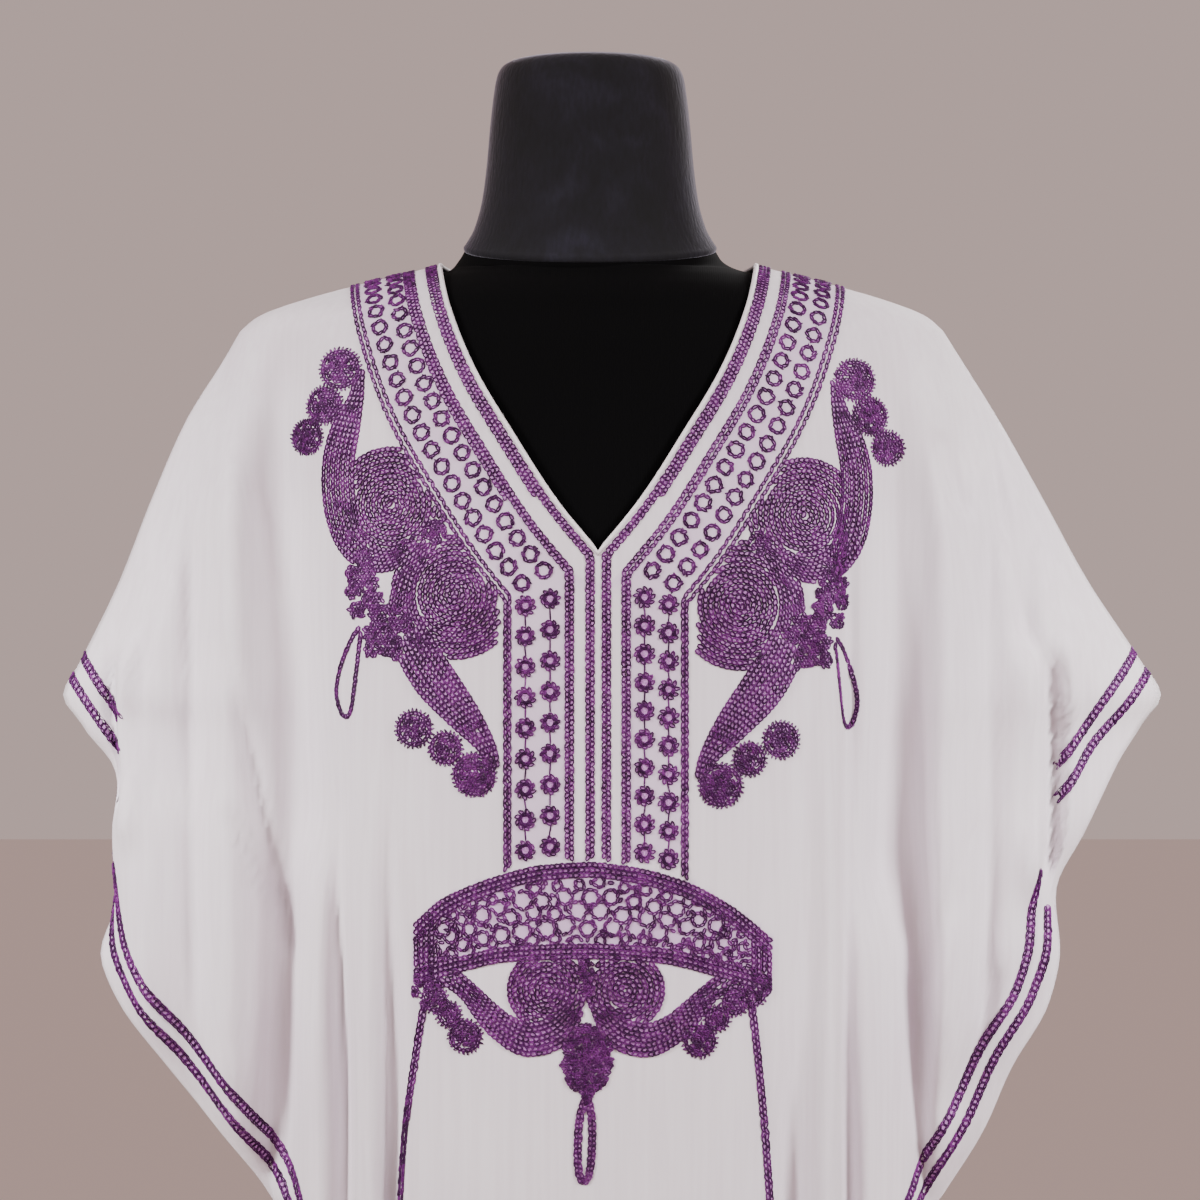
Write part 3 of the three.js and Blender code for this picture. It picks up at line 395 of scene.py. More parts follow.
def add(material, kind, settings=(), links=()):
    """Adds one node, sets its values and links its inputs. Stops are a ramp's (place, hex) colours."""
    made = material.node_tree.nodes.new("ShaderNode" + kind)
    for key, value in dict(settings).items():
        if key == "stops":
            elements = made.color_ramp.elements
            while len(elements) < len(value):
                elements.new(0.5)
            for element, (place, code) in zip(elements, value):
                element.position = place
                element.color = colour(code)
        elif isinstance(key, str) and hasattr(made, key):
            setattr(made, key, value)
        else:
            made.inputs[key].default_value = value
    for key, (source, output) in dict(links).items():
        material.node_tree.links.new(source.outputs[output], made.inputs[key])
    return made


def finish_of(name, surface):
    """A new material whose nodes start from its Principled shader with the given values."""
    material = bpy.data.materials.new(name)
    material.use_nodes = True
    material.node_tree.nodes.clear()
    shader = add(material, "BsdfPrincipled", surface)
    add(material, "OutputMaterial", (), {"Surface": (shader, "BSDF")})
    return material, shader


def join(material, source, output, target, socket):
    material.node_tree.links.new(source.outputs[output], target.inputs[socket])


def crepe_finish():
    """Viscose crepe, piece-dyed white: matt, with a fine pebbled grain from its hard-twisted yarns
    and faint streaks along the warp. The grain is drawn at 1.3 mm, three times its real size."""
    material, shader = finish_of(
        "crepe", {"Roughness": 0.82, "Sheen Weight": 0.25, "Sheen Roughness": 0.6, "IOR": 1.46}
    )
    coords = add(material, "TexCoord")
    tint = add(material, "Attribute", {"attribute_name": "lilac"})
    grain = add(material, "TexNoise", {"Scale": 780, "Detail": 2}, {"Vector": (coords, "Object")})
    warp = add(material, "Mapping", {"Scale": (1, 1, 0.04)}, {"Vector": (coords, "Object")})
    streak = add(material, "TexNoise", {"Scale": 260, "Detail": 3}, {"Vector": (warp, "Vector")})
    cloud = add(material, "TexNoise", {"Scale": 7, "Detail": 3}, {"Vector": (coords, "Object")})
    white = add(
        material,
        "ValToRGB",
        {"stops": [(0.3, "#e6dde6"), (0.7, "#ede5eb")]},
        {"Fac": (cloud, "Fac")},
    )
    lines = add(
        material,
        "ValToRGB",
        {"stops": [(0.35, "#f9f7f8"), (0.65, "#ffffff")]},
        {"Fac": (streak, "Fac")},
    )
    woven = add(
        material,
        "Mix",
        {"data_type": "RGBA", "blend_type": "MULTIPLY", 0: 1.0},
        {6: (white, "Color"), 7: (lines, "Color")},
    )
    # The lilac attribute mixes in pale purple: under the waist plate a painted reflection of the thread's
    # light, under the bands and placket a tint of the ground.
    ground = add(
        material, "Mix", {"data_type": "RGBA", 7: colour("#c79ccf")}, {0: (tint, "Fac"), 6: (woven, 2)}
    )
    join(material, ground, 2, shader, "Base Color")
    height = add(material, "Math", {"operation": "ADD"}, {0: (grain, "Fac"), 1: (streak, "Fac")})
    bump = add(material, "Bump", {"Strength": 0.1, "Distance": 0.0003}, {"Height": (height, "Value")})
    join(material, bump, "Normal", shader, "Normal")
    return material


crepe = crepe_finish()


def neck_distance(x, drop):
    """How far a place on the front lies outside the neck edge, in millimetres."""
    out = np.linspace(0, NECK_HALF, 60)
    edge = read(FRONT_NECK, "out", "drop", out)
    away = np.hypot(np.abs(x)[:, None] - out, drop[:, None] - edge)
    return away.min(axis=1)


BAND_GROUND = (17, 57)
PLACKET_GROUND = {"inner": 15, "left": 56, "right": 52.5, "end": 365}
GROUND_EDGE = 3
GROUND_TURN = (195, 15)
# Under the waist plate the lilac is painted reflection of the purple thread.
PLATE_PAINTED_REFLECTION = 0.75
BAND_TINT = 0.45
PLATE_LEFT = -110.4
PLATE_RIGHT = 104
PLATE_TOP = columns(
    "x drop",
    (-112, 405), (-93, 388.4), (-57.6, 373.8), (-33, 367.8), (-5.4, 366), (19.2, 368.6),
    (49.8, 376.8), (80.4, 393), (108, 416),
)
PLATE_BOTTOM = columns(
    "x drop",
    (-112, 442), (-82.2, 433.2), (-52.8, 426.6), (-5.4, 424.4), (34.2, 426.8), (70.8, 435.6), (108, 447),
)


def lilac_share(x, drop):
    """The share of lilac in the cloth's colour, else 0: a tint of the ground under the ring bands and the
    placket, and under the waist plate a painted reflection of the purple thread's light.
    """
    away = neck_distance(x, drop)
    band = ease((away - BAND_GROUND[0]) / GROUND_EDGE) * ease((BAND_GROUND[1] - away) / GROUND_EDGE)
    out = np.abs(x)
    half = np.where(x < 0, PLACKET_GROUND["left"], PLACKET_GROUND["right"])
    strip = ease((out - PLACKET_GROUND["inner"]) / GROUND_EDGE) * ease((half - out) / GROUND_EDGE)
    below = ease((drop - GROUND_TURN[0]) / GROUND_TURN[1])
    beside = np.where(drop > PLACKET_GROUND["end"], 0, mix(band, strip, below))
    top = read(PLATE_TOP, "x", "drop", x) + GROUND_EDGE
    bottom = read(PLATE_BOTTOM, "x", "drop", x) - GROUND_EDGE
    plate = (x > PLATE_LEFT) & (x < PLATE_RIGHT) & (drop > top) & (drop < bottom)
    return np.where(plate, PLATE_PAINTED_REFLECTION, BAND_TINT * beside)


def sew_panel(name, panel):
    bm = bmesh.new()
    side_columns = BODY_COLUMNS + SLEEVE_COLUMNS
    rows = UPPER_ROWS + SKIRT_ROWS
    bmesh.ops.create_grid(bm, x_segments=2 * side_columns, y_segments=rows, size=1)
    column = np.array([round(v.co.x * side_columns) for v in bm.verts], float)
    row = np.array([round((1 - v.co.y) / 2 * rows) for v in bm.verts], float)
    points = np.zeros((len(bm.verts), 3))
    for side, sign in SIDES.items():
        here = column * sign >= 0
        out, drop = panel_places(panel, side, np.abs(column[here]), row[here])
        flat = cloth_points(panel, side, out, drop)
        slack = SLACK * ease((reach_at(side, drop) - out) / SLACK_FADE)
        slack = slack * ease((drop - SLACK_TOP) / SLACK_GROWS)
        flat[:, 1] += slack * [noise.noise(SLACK_SCALE @ Vector(p)) for p in flat] * MM
        seam = (row[here] == 0) & (out >= NECK_HALF)
        flat[seam, 1] = PANELS[panel]["facing"] * SEAM_GAP * MM
        points[here] = flat
    for vertex, point in zip(bm.verts, points):
        vertex.co = point
    corners = list(bm.verts)
    outside = (np.abs(column) > BODY_COLUMNS) & (row > UPPER_ROWS)
    bmesh.ops.delete(bm, geom=[corners[i] for i in np.flatnonzero(outside)], context="VERTS")
    for sign in SIDES.values():
        meeting = np.flatnonzero((column * sign >= BODY_COLUMNS) & (row == UPPER_ROWS))
        outermost = max(meeting, key=lambda i: column[i] * sign)
        tip = corners[outermost].co.copy()
        bmesh.ops.pointmerge(bm, verts=[corners[i] for i in meeting], merge_co=tip)
    bm.normal_update()
    middle = min(bm.faces, key=lambda face: abs(face.calc_center_median().x))
    if middle.normal.y * PANELS[panel]["facing"] < 0:
        bmesh.ops.reverse_faces(bm, faces=bm.faces)
    made = new_object(name, bm, crepe)
    places = np.array([v.co for v in made.data.vertices]) / MM
    # The lilac share: on the waist plate it is painted reflection of the purple thread.
    tint = made.data.attributes.new("lilac", "FLOAT", "POINT")
    if panel == "front":
        share = lilac_share(places[:, 0], NECK_HEIGHT - places[:, 2])
        tint.data.foreach_set("value", share.astype(np.float32))
    wall = made.modifiers.new("wall", "SOLIDIFY")
    wall.thickness = CREPE_THICK * MM
    wall.offset = -1
    return made


front = sew_panel("kaftan_front_cloth", "front")
back = sew_panel("kaftan_back_cloth", "back")
# The frame's two panels are hidden; the sewn panels stand for them.
for panel, node in ((front, "kaftan_front"), (back, "kaftan_back")):
    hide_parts(node)

# ---------------------------------------------------------------- the neck binding
# A narrow roll of white satin cut on the bias, stitched all the way round the neck edge.

BINDING_RADIUS = 1.5


def binding_finish():
    """Polyester satin on the bias: smoother and brighter than the crepe."""
    material, shader = finish_of("binding", {"Base Color": colour("#f4eff2"), "Roughness": 0.5})
    coords = add(material, "TexCoord")
    twill = add(material, "TexNoise", {"Scale": 900}, {"Vector": (coords, "Object")})
    bump = add(material, "Bump", {"Strength": 0.2, "Distance": 0.0003}, {"Height": (twill, "Fac")})
    join(material, bump, "Normal", shader, "Normal")
    return material


def tube_along(name, points, radius, material, cyclic=False, sides=4):
    """A round roll of mesh along points, in metres."""
    curve = bpy.data.curves.new(name, "CURVE")
    curve.dimensions = "3D"
    curve.bevel_depth = radius * MM
    curve.bevel_resolution = sides
    spline = curve.splines.new("POLY")
    spline.points.add(len(points) - 1)
    for target, point in zip(spline.points, points):
        target.co = (*point, 1)
    spline.use_cyclic_u = cyclic
    shaped = bpy.data.objects.new(name, curve)
    mesh = bpy.data.meshes.new_from_object(shaped)
    bpy.data.objects.remove(shaped)
    bpy.data.curves.remove(curve)
    mesh.name = name
    return show_mesh(name, mesh, material)


def neck_ring():
    """The neck edge from the left neck point round the front and back to it again."""
    steps = np.linspace(0, 1, 40)
    out = NECK_HALF * np.sin(steps * math.pi / 2)
    ring = []
    for panel, sides in (("front", ("left", "right")), ("back", ("right", "left"))):
        for side, order in zip(sides, (slice(None, 0, -1), slice(None))):
            drop = read(PANELS[panel]["neck"], "out", "drop", out)
            ring.extend(cloth_points(panel, side, out, drop)[order])
    return ring


binding = tube_along("neck_binding_roll", neck_ring(), BINDING_RADIUS, binding_finish(), cyclic=True)
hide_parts("neck_binding")

# ---------------------------------------------------------------- the ring bands along the neck
# Purple rayon machine embroidery, all of it in small open chain stitches. Each band has a dense
# braid beside the binding, a second braid, two rows of rings, and a fine double line outside.

THREAD_SIDES = 3
LINK_STEPS = 7
LINK_TAPER = 0.22
JITTER = np.random.default_rng(7)


def tree_of(made):
    faces = [list(polygon.vertices) for polygon in made.data.polygons]
    return BVHTree.FromPolygons([vertex.co for vertex in made.data.vertices], faces)


front_tree = tree_of(front)


def link_ring():
    """One closed link of thread, as an angle round the link, a way out of it and a lift."""
    bm = bmesh.new()
    place = Matrix.Translation((1, 0, 0)) @ Matrix.Rotation(math.pi / 2, 4, "X")
    bmesh.ops.create_circle(bm, segments=THREAD_SIDES, radius=0.25, matrix=place)
    bmesh.ops.spin(
        bm,
        geom=bm.verts[:] + bm.edges[:],
        axis=(0, 0, 1),
        angle=2 * math.pi,
        steps=LINK_STEPS,
        use_merge=True,
    )
    bmesh.ops.recalc_face_normals(bm, faces=bm.faces)
    bm.verts.index_update()
    corners = np.array([v.co for v in bm.verts])
    faces = np.array([[v.index for v in f.verts] for f in bm.faces])
    bm.free()
    angle = np.arctan2(corners[:, 1], corners[:, 0])
    return angle, (np.hypot(corners[:, 0], corners[:, 1]) - 1) / 0.25, corners[:, 2] / 0.25, faces


LINK_ANGLE, LINK_OUT, LINK_LIFT, LINK_FACES = link_ring()


def unit(vectors):
    return vectors / np.maximum(np.linalg.norm(vectors, axis=-1, keepdims=True), 1e-9)


def seen_points(x, drop):
    """Points and normals, in millimetres, of the front where it is seen at (x, drop)."""
    points, normals = [], []
    for across, low in zip(x, drop):
        start = Vector((across * MM, -0.5, (NECK_HEIGHT - low) * MM))
        point, normal, _, _ = front_tree.ray_cast(start, Vector((0, 1, 0)))
        points.append(point / MM if point else (math.nan,) * 3)
        normals.append(normal if point else (math.nan,) * 3)
    points, normals = np.array(points, float), np.array(normals, float)
    return points, np.where(normals[:, 1:2] > 0, -normals, normals)


def smooth_line(corners, step=0.7):
    """A smooth line through corners, in even steps. Corners may carry more values than their place."""
    corners = np.array(corners, float)
    ends = np.vstack([2 * corners[0] - corners[1], corners, 2 * corners[-1] - corners[-2]])
    pieces = []
    for a, b, c, d in zip(ends, ends[1:], ends[2:], ends[3:]):
        t = np.linspace(0, 1, max(2, int(np.hypot(*(c - b)[:2]) / step)), endpoint=False)[:, None]
        slope_b, slope_c = (c - a) / 2, (d - b) / 2
        pieces.append(
            (1 + 2 * t) * (1 - t) ** 2 * b
            + t * (1 - t) ** 2 * slope_b
            + t * t * (3 - 2 * t) * c
            + t * t * (t - 1) * slope_c
        )
    return np.vstack([*pieces, corners[-1:]])


def straight_line(corners, step=0.7):
    """A line with sharp corners, in even steps."""
    corners = np.array(corners, float)
    length = np.concatenate([[0], np.cumsum(np.hypot(*np.diff(corners, axis=0).T))])
    along = np.linspace(0, length[-1], max(2, int(length[-1] / step)))
    return np.stack([np.interp(along, length, column) for column in corners.T], axis=1)


def sewn_line(line, pitch, start=0.5):
    """Even places at a pitch along a line on the front, measured on the cloth itself."""
    points, normals = seen_points(line[:, 0], line[:, 1])
    hit = ~np.isnan(points[:, 0])
    return on_line(points[hit], normals[hit], pitch, start)


def on_line(points, normals, pitch, start=0.5):
    if len(points) < 3:
        return {key: np.zeros((0, 3)) for key in ("place", "normal", "heading")}
    length = np.concatenate([[0], np.cumsum(np.linalg.norm(np.diff(points, axis=0), axis=1))])
    count = max(1, round(length[-1] / pitch))
    along = (np.arange(count) + start) * length[-1] / count
    place, normal, ahead, behind = (
        np.stack([np.interp(s, length, column) for column in values.T], axis=1)
        for s, values in ((along, points), (along, normals), (along + 1.5, points), (along - 1.5, points))
    )
    return {"place": place, "normal": unit(normal), "heading": unit(ahead - behind)}


def stitches(line, long, wide, thread=0.5, turn=0.12, slack=0.08, zigzag=0):
    """Chain links at the places of a sewn line, each a little out of true."""
    count = len(line["place"])
    angle = JITTER.normal(0, turn, (count, 1)) + zigzag * (-1) ** np.arange(count)[:, None]
    across = np.cross(line["normal"], line["heading"])
    heading = line["heading"] * np.cos(angle) + across * np.sin(angle)
    size = np.array([long, wide, thread]) * (1 + JITTER.uniform(-slack, slack, (count, 3)))
    return {**line, "heading": heading, "size": size}


def together(*parts):
    return {key: np.concatenate([part[key] for part in parts]) for key in parts[0]}


def where(part, chosen):
    return {key: values[chosen] for key, values in part.items()}


def apart(part, least):
    """Leaves out each stitch closer than least to one already sewn."""
    kept, cells = [], {}
    for i, point in enumerate(part["place"]):
        cell = tuple(np.floor(point / least).astype(int))
        near = [
            j
            for a in (-1, 0, 1)
            for b in (-1, 0, 1)
            for c in (-1, 0, 1)
            for j in cells.get((cell[0] + a, cell[1] + b, cell[2] + c), ())
        ]
        if all(np.linalg.norm(part["place"][j] - point) >= least for j in near):
            cells.setdefault(cell, []).append(i)
            kept.append(i)
    return where(part, np.array(kept, int))


def flat_places(part):
    """(x, drop) of stitches."""
    return part["place"][:, 0], NECK_HEIGHT - part["place"][:, 2]


def rayon_finish():
    """Trilobal rayon embroidery thread, two-ply: a silky lustre, each stitch a slightly different
    purple by the way its filaments lie. The ply is drawn at 0.8 mm, twice its real pitch."""
    material, shader = finish_of(
        "rayon_thread", {"Roughness": 0.55, "Specular IOR Level": 0.3, "IOR": 1.52}
    )
    coords = add(material, "TexCoord")
    tone = add(material, "Attribute", {"attribute_name": "tone"})
    ply = add(material, "TexNoise", {"Scale": 1250, "Detail": 1}, {"Vector": (coords, "Object")})
    cloud = add(material, "TexNoise", {"Scale": 30, "Detail": 2}, {"Vector": (coords, "Object")})
    blend = add(material, "Math", {"operation": "ADD"}, {0: (tone, "Fac"), 1: (cloud, "Fac")})
    dyed = add(
        material,
        "ValToRGB",
        {"stops": [(0.3, "#410746"), (0.62, "#610f67"), (0.95, "#87308c")]},
        {"Fac": (blend, "Value")},
    )
    shine = add(
        material,
        "ValToRGB",
        {"stops": [(0.3, "#b9b2bd"), (0.7, "#ffffff")]},
        {"Fac": (ply, "Fac")},
    )
    both = add(
        material,
        "Mix",
        {"data_type": "RGBA", "blend_type": "MULTIPLY", 0: 1.0},
        {6: (dyed, "Color"), 7: (shine, "Color")},
    )
    join(material, both, 2, shader, "Base Color")
    bump = add(material, "Bump", {"Strength": 0.4, "Distance": 0.0002}, {"Height": (ply, "Fac")})
    join(material, bump, "Normal", shader, "Normal")
    return material


rayon = rayon_finish()


def painted_link_glint():
    """Painted highlight: a matt, pale lilac face across the middle of each chain link, standing for the
    light glinting off the thread's loops.
    """
    material, shader = finish_of("painted_glint_in_links", {"Roughness": 0.8})
    coords = add(material, "TexCoord")
    fuzz = add(material, "TexNoise", {"Scale": 1100, "Detail": 2}, {"Vector": (coords, "Object")})
    shade = add(
        material,
        "ValToRGB",
        {"stops": [(0.35, "#9c5ba3"), (0.65, "#c994ce")]},
        {"Fac": (fuzz, "Fac")},
    )
    join(material, shade, "Color", shader, "Base Color")
    return material


lilac = painted_link_glint()


def sew(name, part, *nodes):
    """Makes the stitches of one piece of embroidery and lets it stand for its nodes."""
    count = len(part["place"])
    heading, normal = part["heading"][:, None, :], part["normal"][:, None, :]
    across = np.cross(normal, heading)
    long, wide, thread = (part["size"][:, None, k] for k in range(3))
    turn_cos, turn_sin = np.cos(LINK_ANGLE), np.sin(LINK_ANGLE)
    way = unit(np.stack([turn_cos * wide, turn_sin * long], axis=-1))
    taper = 1 - LINK_TAPER * turn_cos
    ahead = turn_cos * long / 2 + LINK_OUT * thread * way[..., 0]
    aside = turn_sin * taper * wide / 2 + LINK_OUT * thread * way[..., 1]
    lift = thread * (LINK_LIFT + 0.75 + 0.45 * turn_cos) + JITTER.uniform(0, 0.25, (count, 1))
    corners = (
        part["place"][:, None, :]
        + heading * ahead[..., None]
        + across * aside[..., None]
        + normal * lift[..., None]
    )
    # Each link also gets a flat face across its middle, in the painted highlight's pale lilac.
    middles = part["place"][:, None, :] + normal * 0.2
    for k in range(LINK_STEPS):
        turn = 2 * math.pi * k / LINK_STEPS
        along = heading * math.cos(turn) * long[:, :, None] / 2
        beside = across * math.sin(turn) * (1 - LINK_TAPER * math.cos(turn)) * wide[:, :, None] / 2
        corners = np.concatenate([corners, middles + (along + beside)], axis=1)
    width = len(LINK_ANGLE) + LINK_STEPS
    steps = np.arange(count)[:, None, None] * width
    links = (LINK_FACES + steps).reshape(-1, 4).tolist()
    insides = (np.arange(len(LINK_ANGLE), width) + steps[:, 0]).tolist()
    mesh = bpy.data.meshes.new(name)
    mesh.from_pydata(corners.reshape(-1, 3) * MM, [], links + insides)
    mesh.polygons.foreach_set("material_index", [0] * len(links) + [1] * len(insides))
    tone = mesh.attributes.new("tone", "FLOAT", "POINT")
    shade = np.repeat(JITTER.uniform(-0.3, 0.45, count), width)
    tone.data.foreach_set("value", shade.astype(np.float32))
    made = show_mesh(name, mesh, rayon, lilac)
    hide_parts(*nodes)


# Each row lies at a distance from the neck edge, and further down at a distance from the middle.
# A row with no second distance ends before the turn.
BAND_ROWS = {
    "left": {
        "braid": [(3.5, 3.4), (6.0, 6.1), (8.5, None), (18.8, 15.7), (21.4, 18.5), (24.0, None)],
        "rings": [(31.5, 28.6), (46.4, 43.4)],
        "line": [(56.8, 53.0), (60.4, 55.4)],
    },
    "right": {
        "braid": [(3.5, 3.6), (6.0, 6.4), (8.5, None), (19.0, 15.4), (22.4, 18.2)],
        "rings": [(31.5, 27.8), (46.0, 42.2)],
        "line": [(56.4, 50.8), (60.0, 53.0)],
    },
}
BAND_NARROW = 0.93
BAND_PITCH = 3.0
RING_PITCH = 12.9
RING_LINKS = 8
PLACKET_RING_PITCH = 17.7
PLACKET_TOP = 190
SHORT_ROW_END = 150


def beside_neck(side, distance, down):
    """A line at a distance outside the neck edge, which turns down beside the placket."""
    out = NECK_HALF * (1 - np.linspace(0, 1, 120) ** 1.3)
    edge = read(FRONT_NECK, "out", "drop", out)
    along = unit(np.stack([np.gradient(out), np.gradient(edge)], axis=1))
    away = distance * mix(BAND_NARROW, 1, ease(edge / 110))
    line = np.stack([out + along[:, 1] * away, edge - along[:, 0] * away], axis=1)
    if down is None:
        return line[line[:, 1] < SHORT_ROW_END] * (SIDES[side], 1)
    line = line[line[:, 0] > down]
    end = float(read(PLATE_TOP, "x", "drop", SIDES[side] * down)) - 1
    line = np.vstack([line, (down, line[-1, 1] + 3), (down, end)])
    return line * (SIDES[side], 1)


def ring(line, radius, links, long=4.0, wide=1.5, thread=0.62, spin=math.pi / 2, turn=0.25):
    """Rings of small chain links round the places of a sewn line. spin turns each link in the ring."""
    parts = []
    first = JITTER.uniform(0, 2 * math.pi, len(line["place"]))
    across = np.cross(line["normal"], line["heading"])
    radius = radius * (1 + JITTER.uniform(-0.06, 0.06, len(line["place"])))[:, None]
    for k in range(links):
        angle = (first + 2 * math.pi * k / links)[:, None]
        way = line["heading"] * np.cos(angle) + across * np.sin(angle)
        heading = line["heading"] * np.cos(angle + spin) + across * np.sin(angle + spin)
        at = {"place": line["place"] + way * radius, "normal": line["normal"], "heading": heading}
        parts.append(stitches(at, long, wide, thread, turn=turn))
    return together(*parts)


def eye(line, across):
    """The pale round in the middle of each ring: one wide link, pale from the painted highlight across its
    middle.
    """
    return stitches(line, across, across, 0.3, slack=0.05)


def band_rings(line):
    """Close firm rings, with a few loose loops of thread outside."""
    return together(
        ring(line, 4.2, RING_LINKS, 4.1, 1.7, turn=0.35),
        ring(line, 5.0, 4, 2.6, 0.8, 0.34, spin=0.7, turn=0.6),
    )


def placket_rings(line):
    """Wider rings: a close round with slanting petals outside it."""
    return together(
        ring(line, 3.3, 7, 3.6, 1.2, 0.66),
        ring(line, 4.9, 9, 3.5, 2.1, 0.52, spin=0.8, turn=0.25),
        eye(line, 4.8),
    )


def jumps(line):
    """The single thread that runs on from each ring to the next."""
    between = (line["place"][1:] + line["place"][:-1]) / 2
    ahead = line["place"][1:] - line["place"][:-1]
    gap = np.linalg.norm(ahead, axis=1)
    part = {"place": between, "normal": line["normal"][1:], "heading": unit(ahead)}
    part = stitches(part, 1, 0.5, 0.3, turn=0.1)
    part["size"][:, 0] = gap * 0.45
    return part


def neck_rows(side):
    parts = []
    rows = BAND_ROWS[side]
    for k, row in enumerate(rows["braid"]):
        line = straight_line(beside_neck(side, *row))
        start = 0.5 * (k % 2)
        parts.append(stitches(sewn_line(line, BAND_PITCH, start), 4.2, 2.3, 0.46, zigzag=0.3))
    for k, row in enumerate(rows["line"]):
        line = straight_line(beside_neck(side, *row))
        parts.append(stitches(sewn_line(line, 3.4, 0.5 * k), 4.6, 1.9, 0.5, zigzag=0.25))
    for k, row in enumerate(rows["rings"]):
        line = straight_line(beside_neck(side, *row))
        turn = PLACKET_TOP + 0.3 * row[0]
        upper = sewn_line(line[line[:, 1] < turn], RING_PITCH, 0.35 + 0.3 * k)
        lower = sewn_line(line[line[:, 1] >= turn], PLACKET_RING_PITCH)
        parts += [band_rings(upper), placket_rings(lower), jumps(lower)]
    return together(*parts)


neck_parts = {side: neck_rows(side) for side in SIDES}
for side, part in neck_parts.items():
    _, low = flat_places(part)
    sew(f"neck_band_{side}_stitches", where(part, low < PLACKET_TOP), f"neck_band_{side}")

# ---------------------------------------------------------------- the placket's embroidery
# The bands' rows run on down both sides of the front opening, which is sewn shut, to the waist.

placket_part = together(
    *[where(part, flat_places(part)[1] >= PLACKET_TOP) for part in neck_parts.values()]
)
sew("placket_stitches", placket_part, "placket")

# ---------------------------------------------------------------- the chest scrolls
# One on each side of the bands: two filled discs, each with a stem that runs round it and ends in
# three small balls, and between them a knotted connector with a hanging loop.

SCROLL = {
    "discs": [(-125.4, 152.4, 35.4), (-86, 206.5, 39.4)],
    "balls": [
        (-157.4, 69, 12.6), (-167, 91, 11.4), (-178.4, 110, 10.4),
        (-110.6, 287.4, 11), (-91.4, 298.8, 10), (-74, 314.4, 13),
    ],
    "knots": [
        (-142, 184, 7), (-141, 192, 7.6), (-139, 201, 7.6), (-136, 210, 7.6), (-132, 219, 7.6),
        (-129, 228, 8), (-126, 237, 8.6), (-148, 194, 5.8), (-148.6, 204, 6), (-145.6, 216, 6),
        (-136, 230, 6.6), (-137, 240, 5.6), (-122, 242, 5), (-124, 218, 7), (-117, 224, 7),
        (-98, 169, 8),
    ],
    "stems": [
        [(-144.6, 70, 3), (-147.6, 88, 5.4), (-153, 104, 9), (-157.6, 123, 10.4), (-158, 145, 10.8),
         (-153.6, 166, 10.4), (-143.6, 181, 9.4), (-127, 185.6, 7.6), (-109, 176, 5.4)],
        [(-103, 178, 4), (-114.6, 196, 6.6), (-117.6, 216, 9.4), (-111.4, 236, 12.4), (-98.6, 257, 13.4),
         (-80.6, 279, 10.4), (-67, 297, 6), (-61.6, 310, 3.6)],
    ],
    "loop": [
        (-144.6, 226.8), (-149.4, 234), (-156, 250), (-159, 265.2), (-156.6, 277), (-153, 280.8),
        (-149.4, 276), (-146.4, 255), (-144.6, 238.8), (-143.4, 230),
    ],
}
RIGHT_SHIFT = (-0.6, 6.6)
# A scroll keeps clear of the bands beside the neck, and of the placket below the bands' turn.
CLEAR_OF_NECK = 61.6
CLEAR_OF_PLACKET = 59.5
CLEAR_TURN = 185
ROW = 3.3


def disc_rows(x, drop, radius, row=ROW):
    """Rings of chain, one inside the other, from a disc's edge to its middle."""
    lines = []
    for r in np.arange(radius - row / 2, 0.4, -row):
        angle = np.linspace(0, 2 * math.pi, max(8, int(r * 9))) + JITTER.uniform(0, 6)
        lines.append(np.stack([x + r * np.cos(angle), drop + r * np.sin(angle)], axis=1))
    return lines


def stem_rows(corners, row=ROW):
    """Rows of chain side by side along a stem, from corners of (x, drop, half width)."""
    line = smooth_line(corners)
    ahead = unit(np.gradient(line[:, :2], axis=0))
    aside = np.stack([-ahead[:, 1], ahead[:, 0]], axis=1)
    inside = np.maximum(0, line[:, 2:] - row / 2)
    count = max(1, math.ceil(inside.max() / row - 0.2))
    shares = [way * k / count for k in range(count, 0, -1) for way in (1, -1)] + [0]
    return [line[:, :2] + aside * inside * share for share in shares]


def knotted(discs, gap=2.1, inset=2.1):
    """Places of tangled stitches that cover a shape made of (x, drop, radius) discs."""
    discs = np.array(discs, float)
    low = (discs[:, :2] - discs[:, 2:]).min(axis=0)
    high = (discs[:, :2] + discs[:, 2:]).max(axis=0)
    rows = np.arange(low[1], high[1], gap * 0.87)
    along = np.arange(low[0], high[0], gap)
    places = np.array([(x + gap / 2 * (k % 2), drop) for k, drop in enumerate(rows) for x in along])
    places = places + JITTER.uniform(-0.3, 0.3, places.shape)
    away = np.hypot(*(places[:, None, :] - discs[None, :, :2]).transpose(2, 0, 1)) - discs[:, 2]
    return places[away.min(axis=1) < -inset]


def rims(discs):
    """A line round each disc, just inside its edge."""
    return [disc_rows(x, drop, radius)[0] for x, drop, radius in discs]


def tangle(places):
    """Small links of thread at flat places, lying every way."""
    spots, normals = seen_points(places[:, 0], places[:, 1])
    hit = ~np.isnan(spots[:, 0])
    heading = unit(np.cross(normals[hit], JITTER.normal(0, 1, (hit.sum(), 3)) * (1, 0.2, 1)))
    line = {"place": spots[hit], "normal": normals[hit], "heading": heading}
    return stitches(line, 3.6, 1.8, 0.6, turn=0.3, slack=0.15)


def fill(lines, pitch=ROW, long=4.3, wide=2.6, thread=0.62):
    return together(*[stitches(sewn_line(line, pitch), long, wide, thread, zigzag=0.12) for line in lines])


def picots(discs, pitch=2.7):
    """Loose little loops of thread that stand out round each ball."""
    parts = []
    for x, drop, radius in discs:
        line = sewn_line(disc_rows(x, drop, radius + ROW / 2)[0], pitch)
        line["heading"] = np.cross(line["normal"], line["heading"])
        parts.append(stitches(line, 2.8, 1.0, 0.34, turn=0.5, slack=0.25))
    return together(*parts)


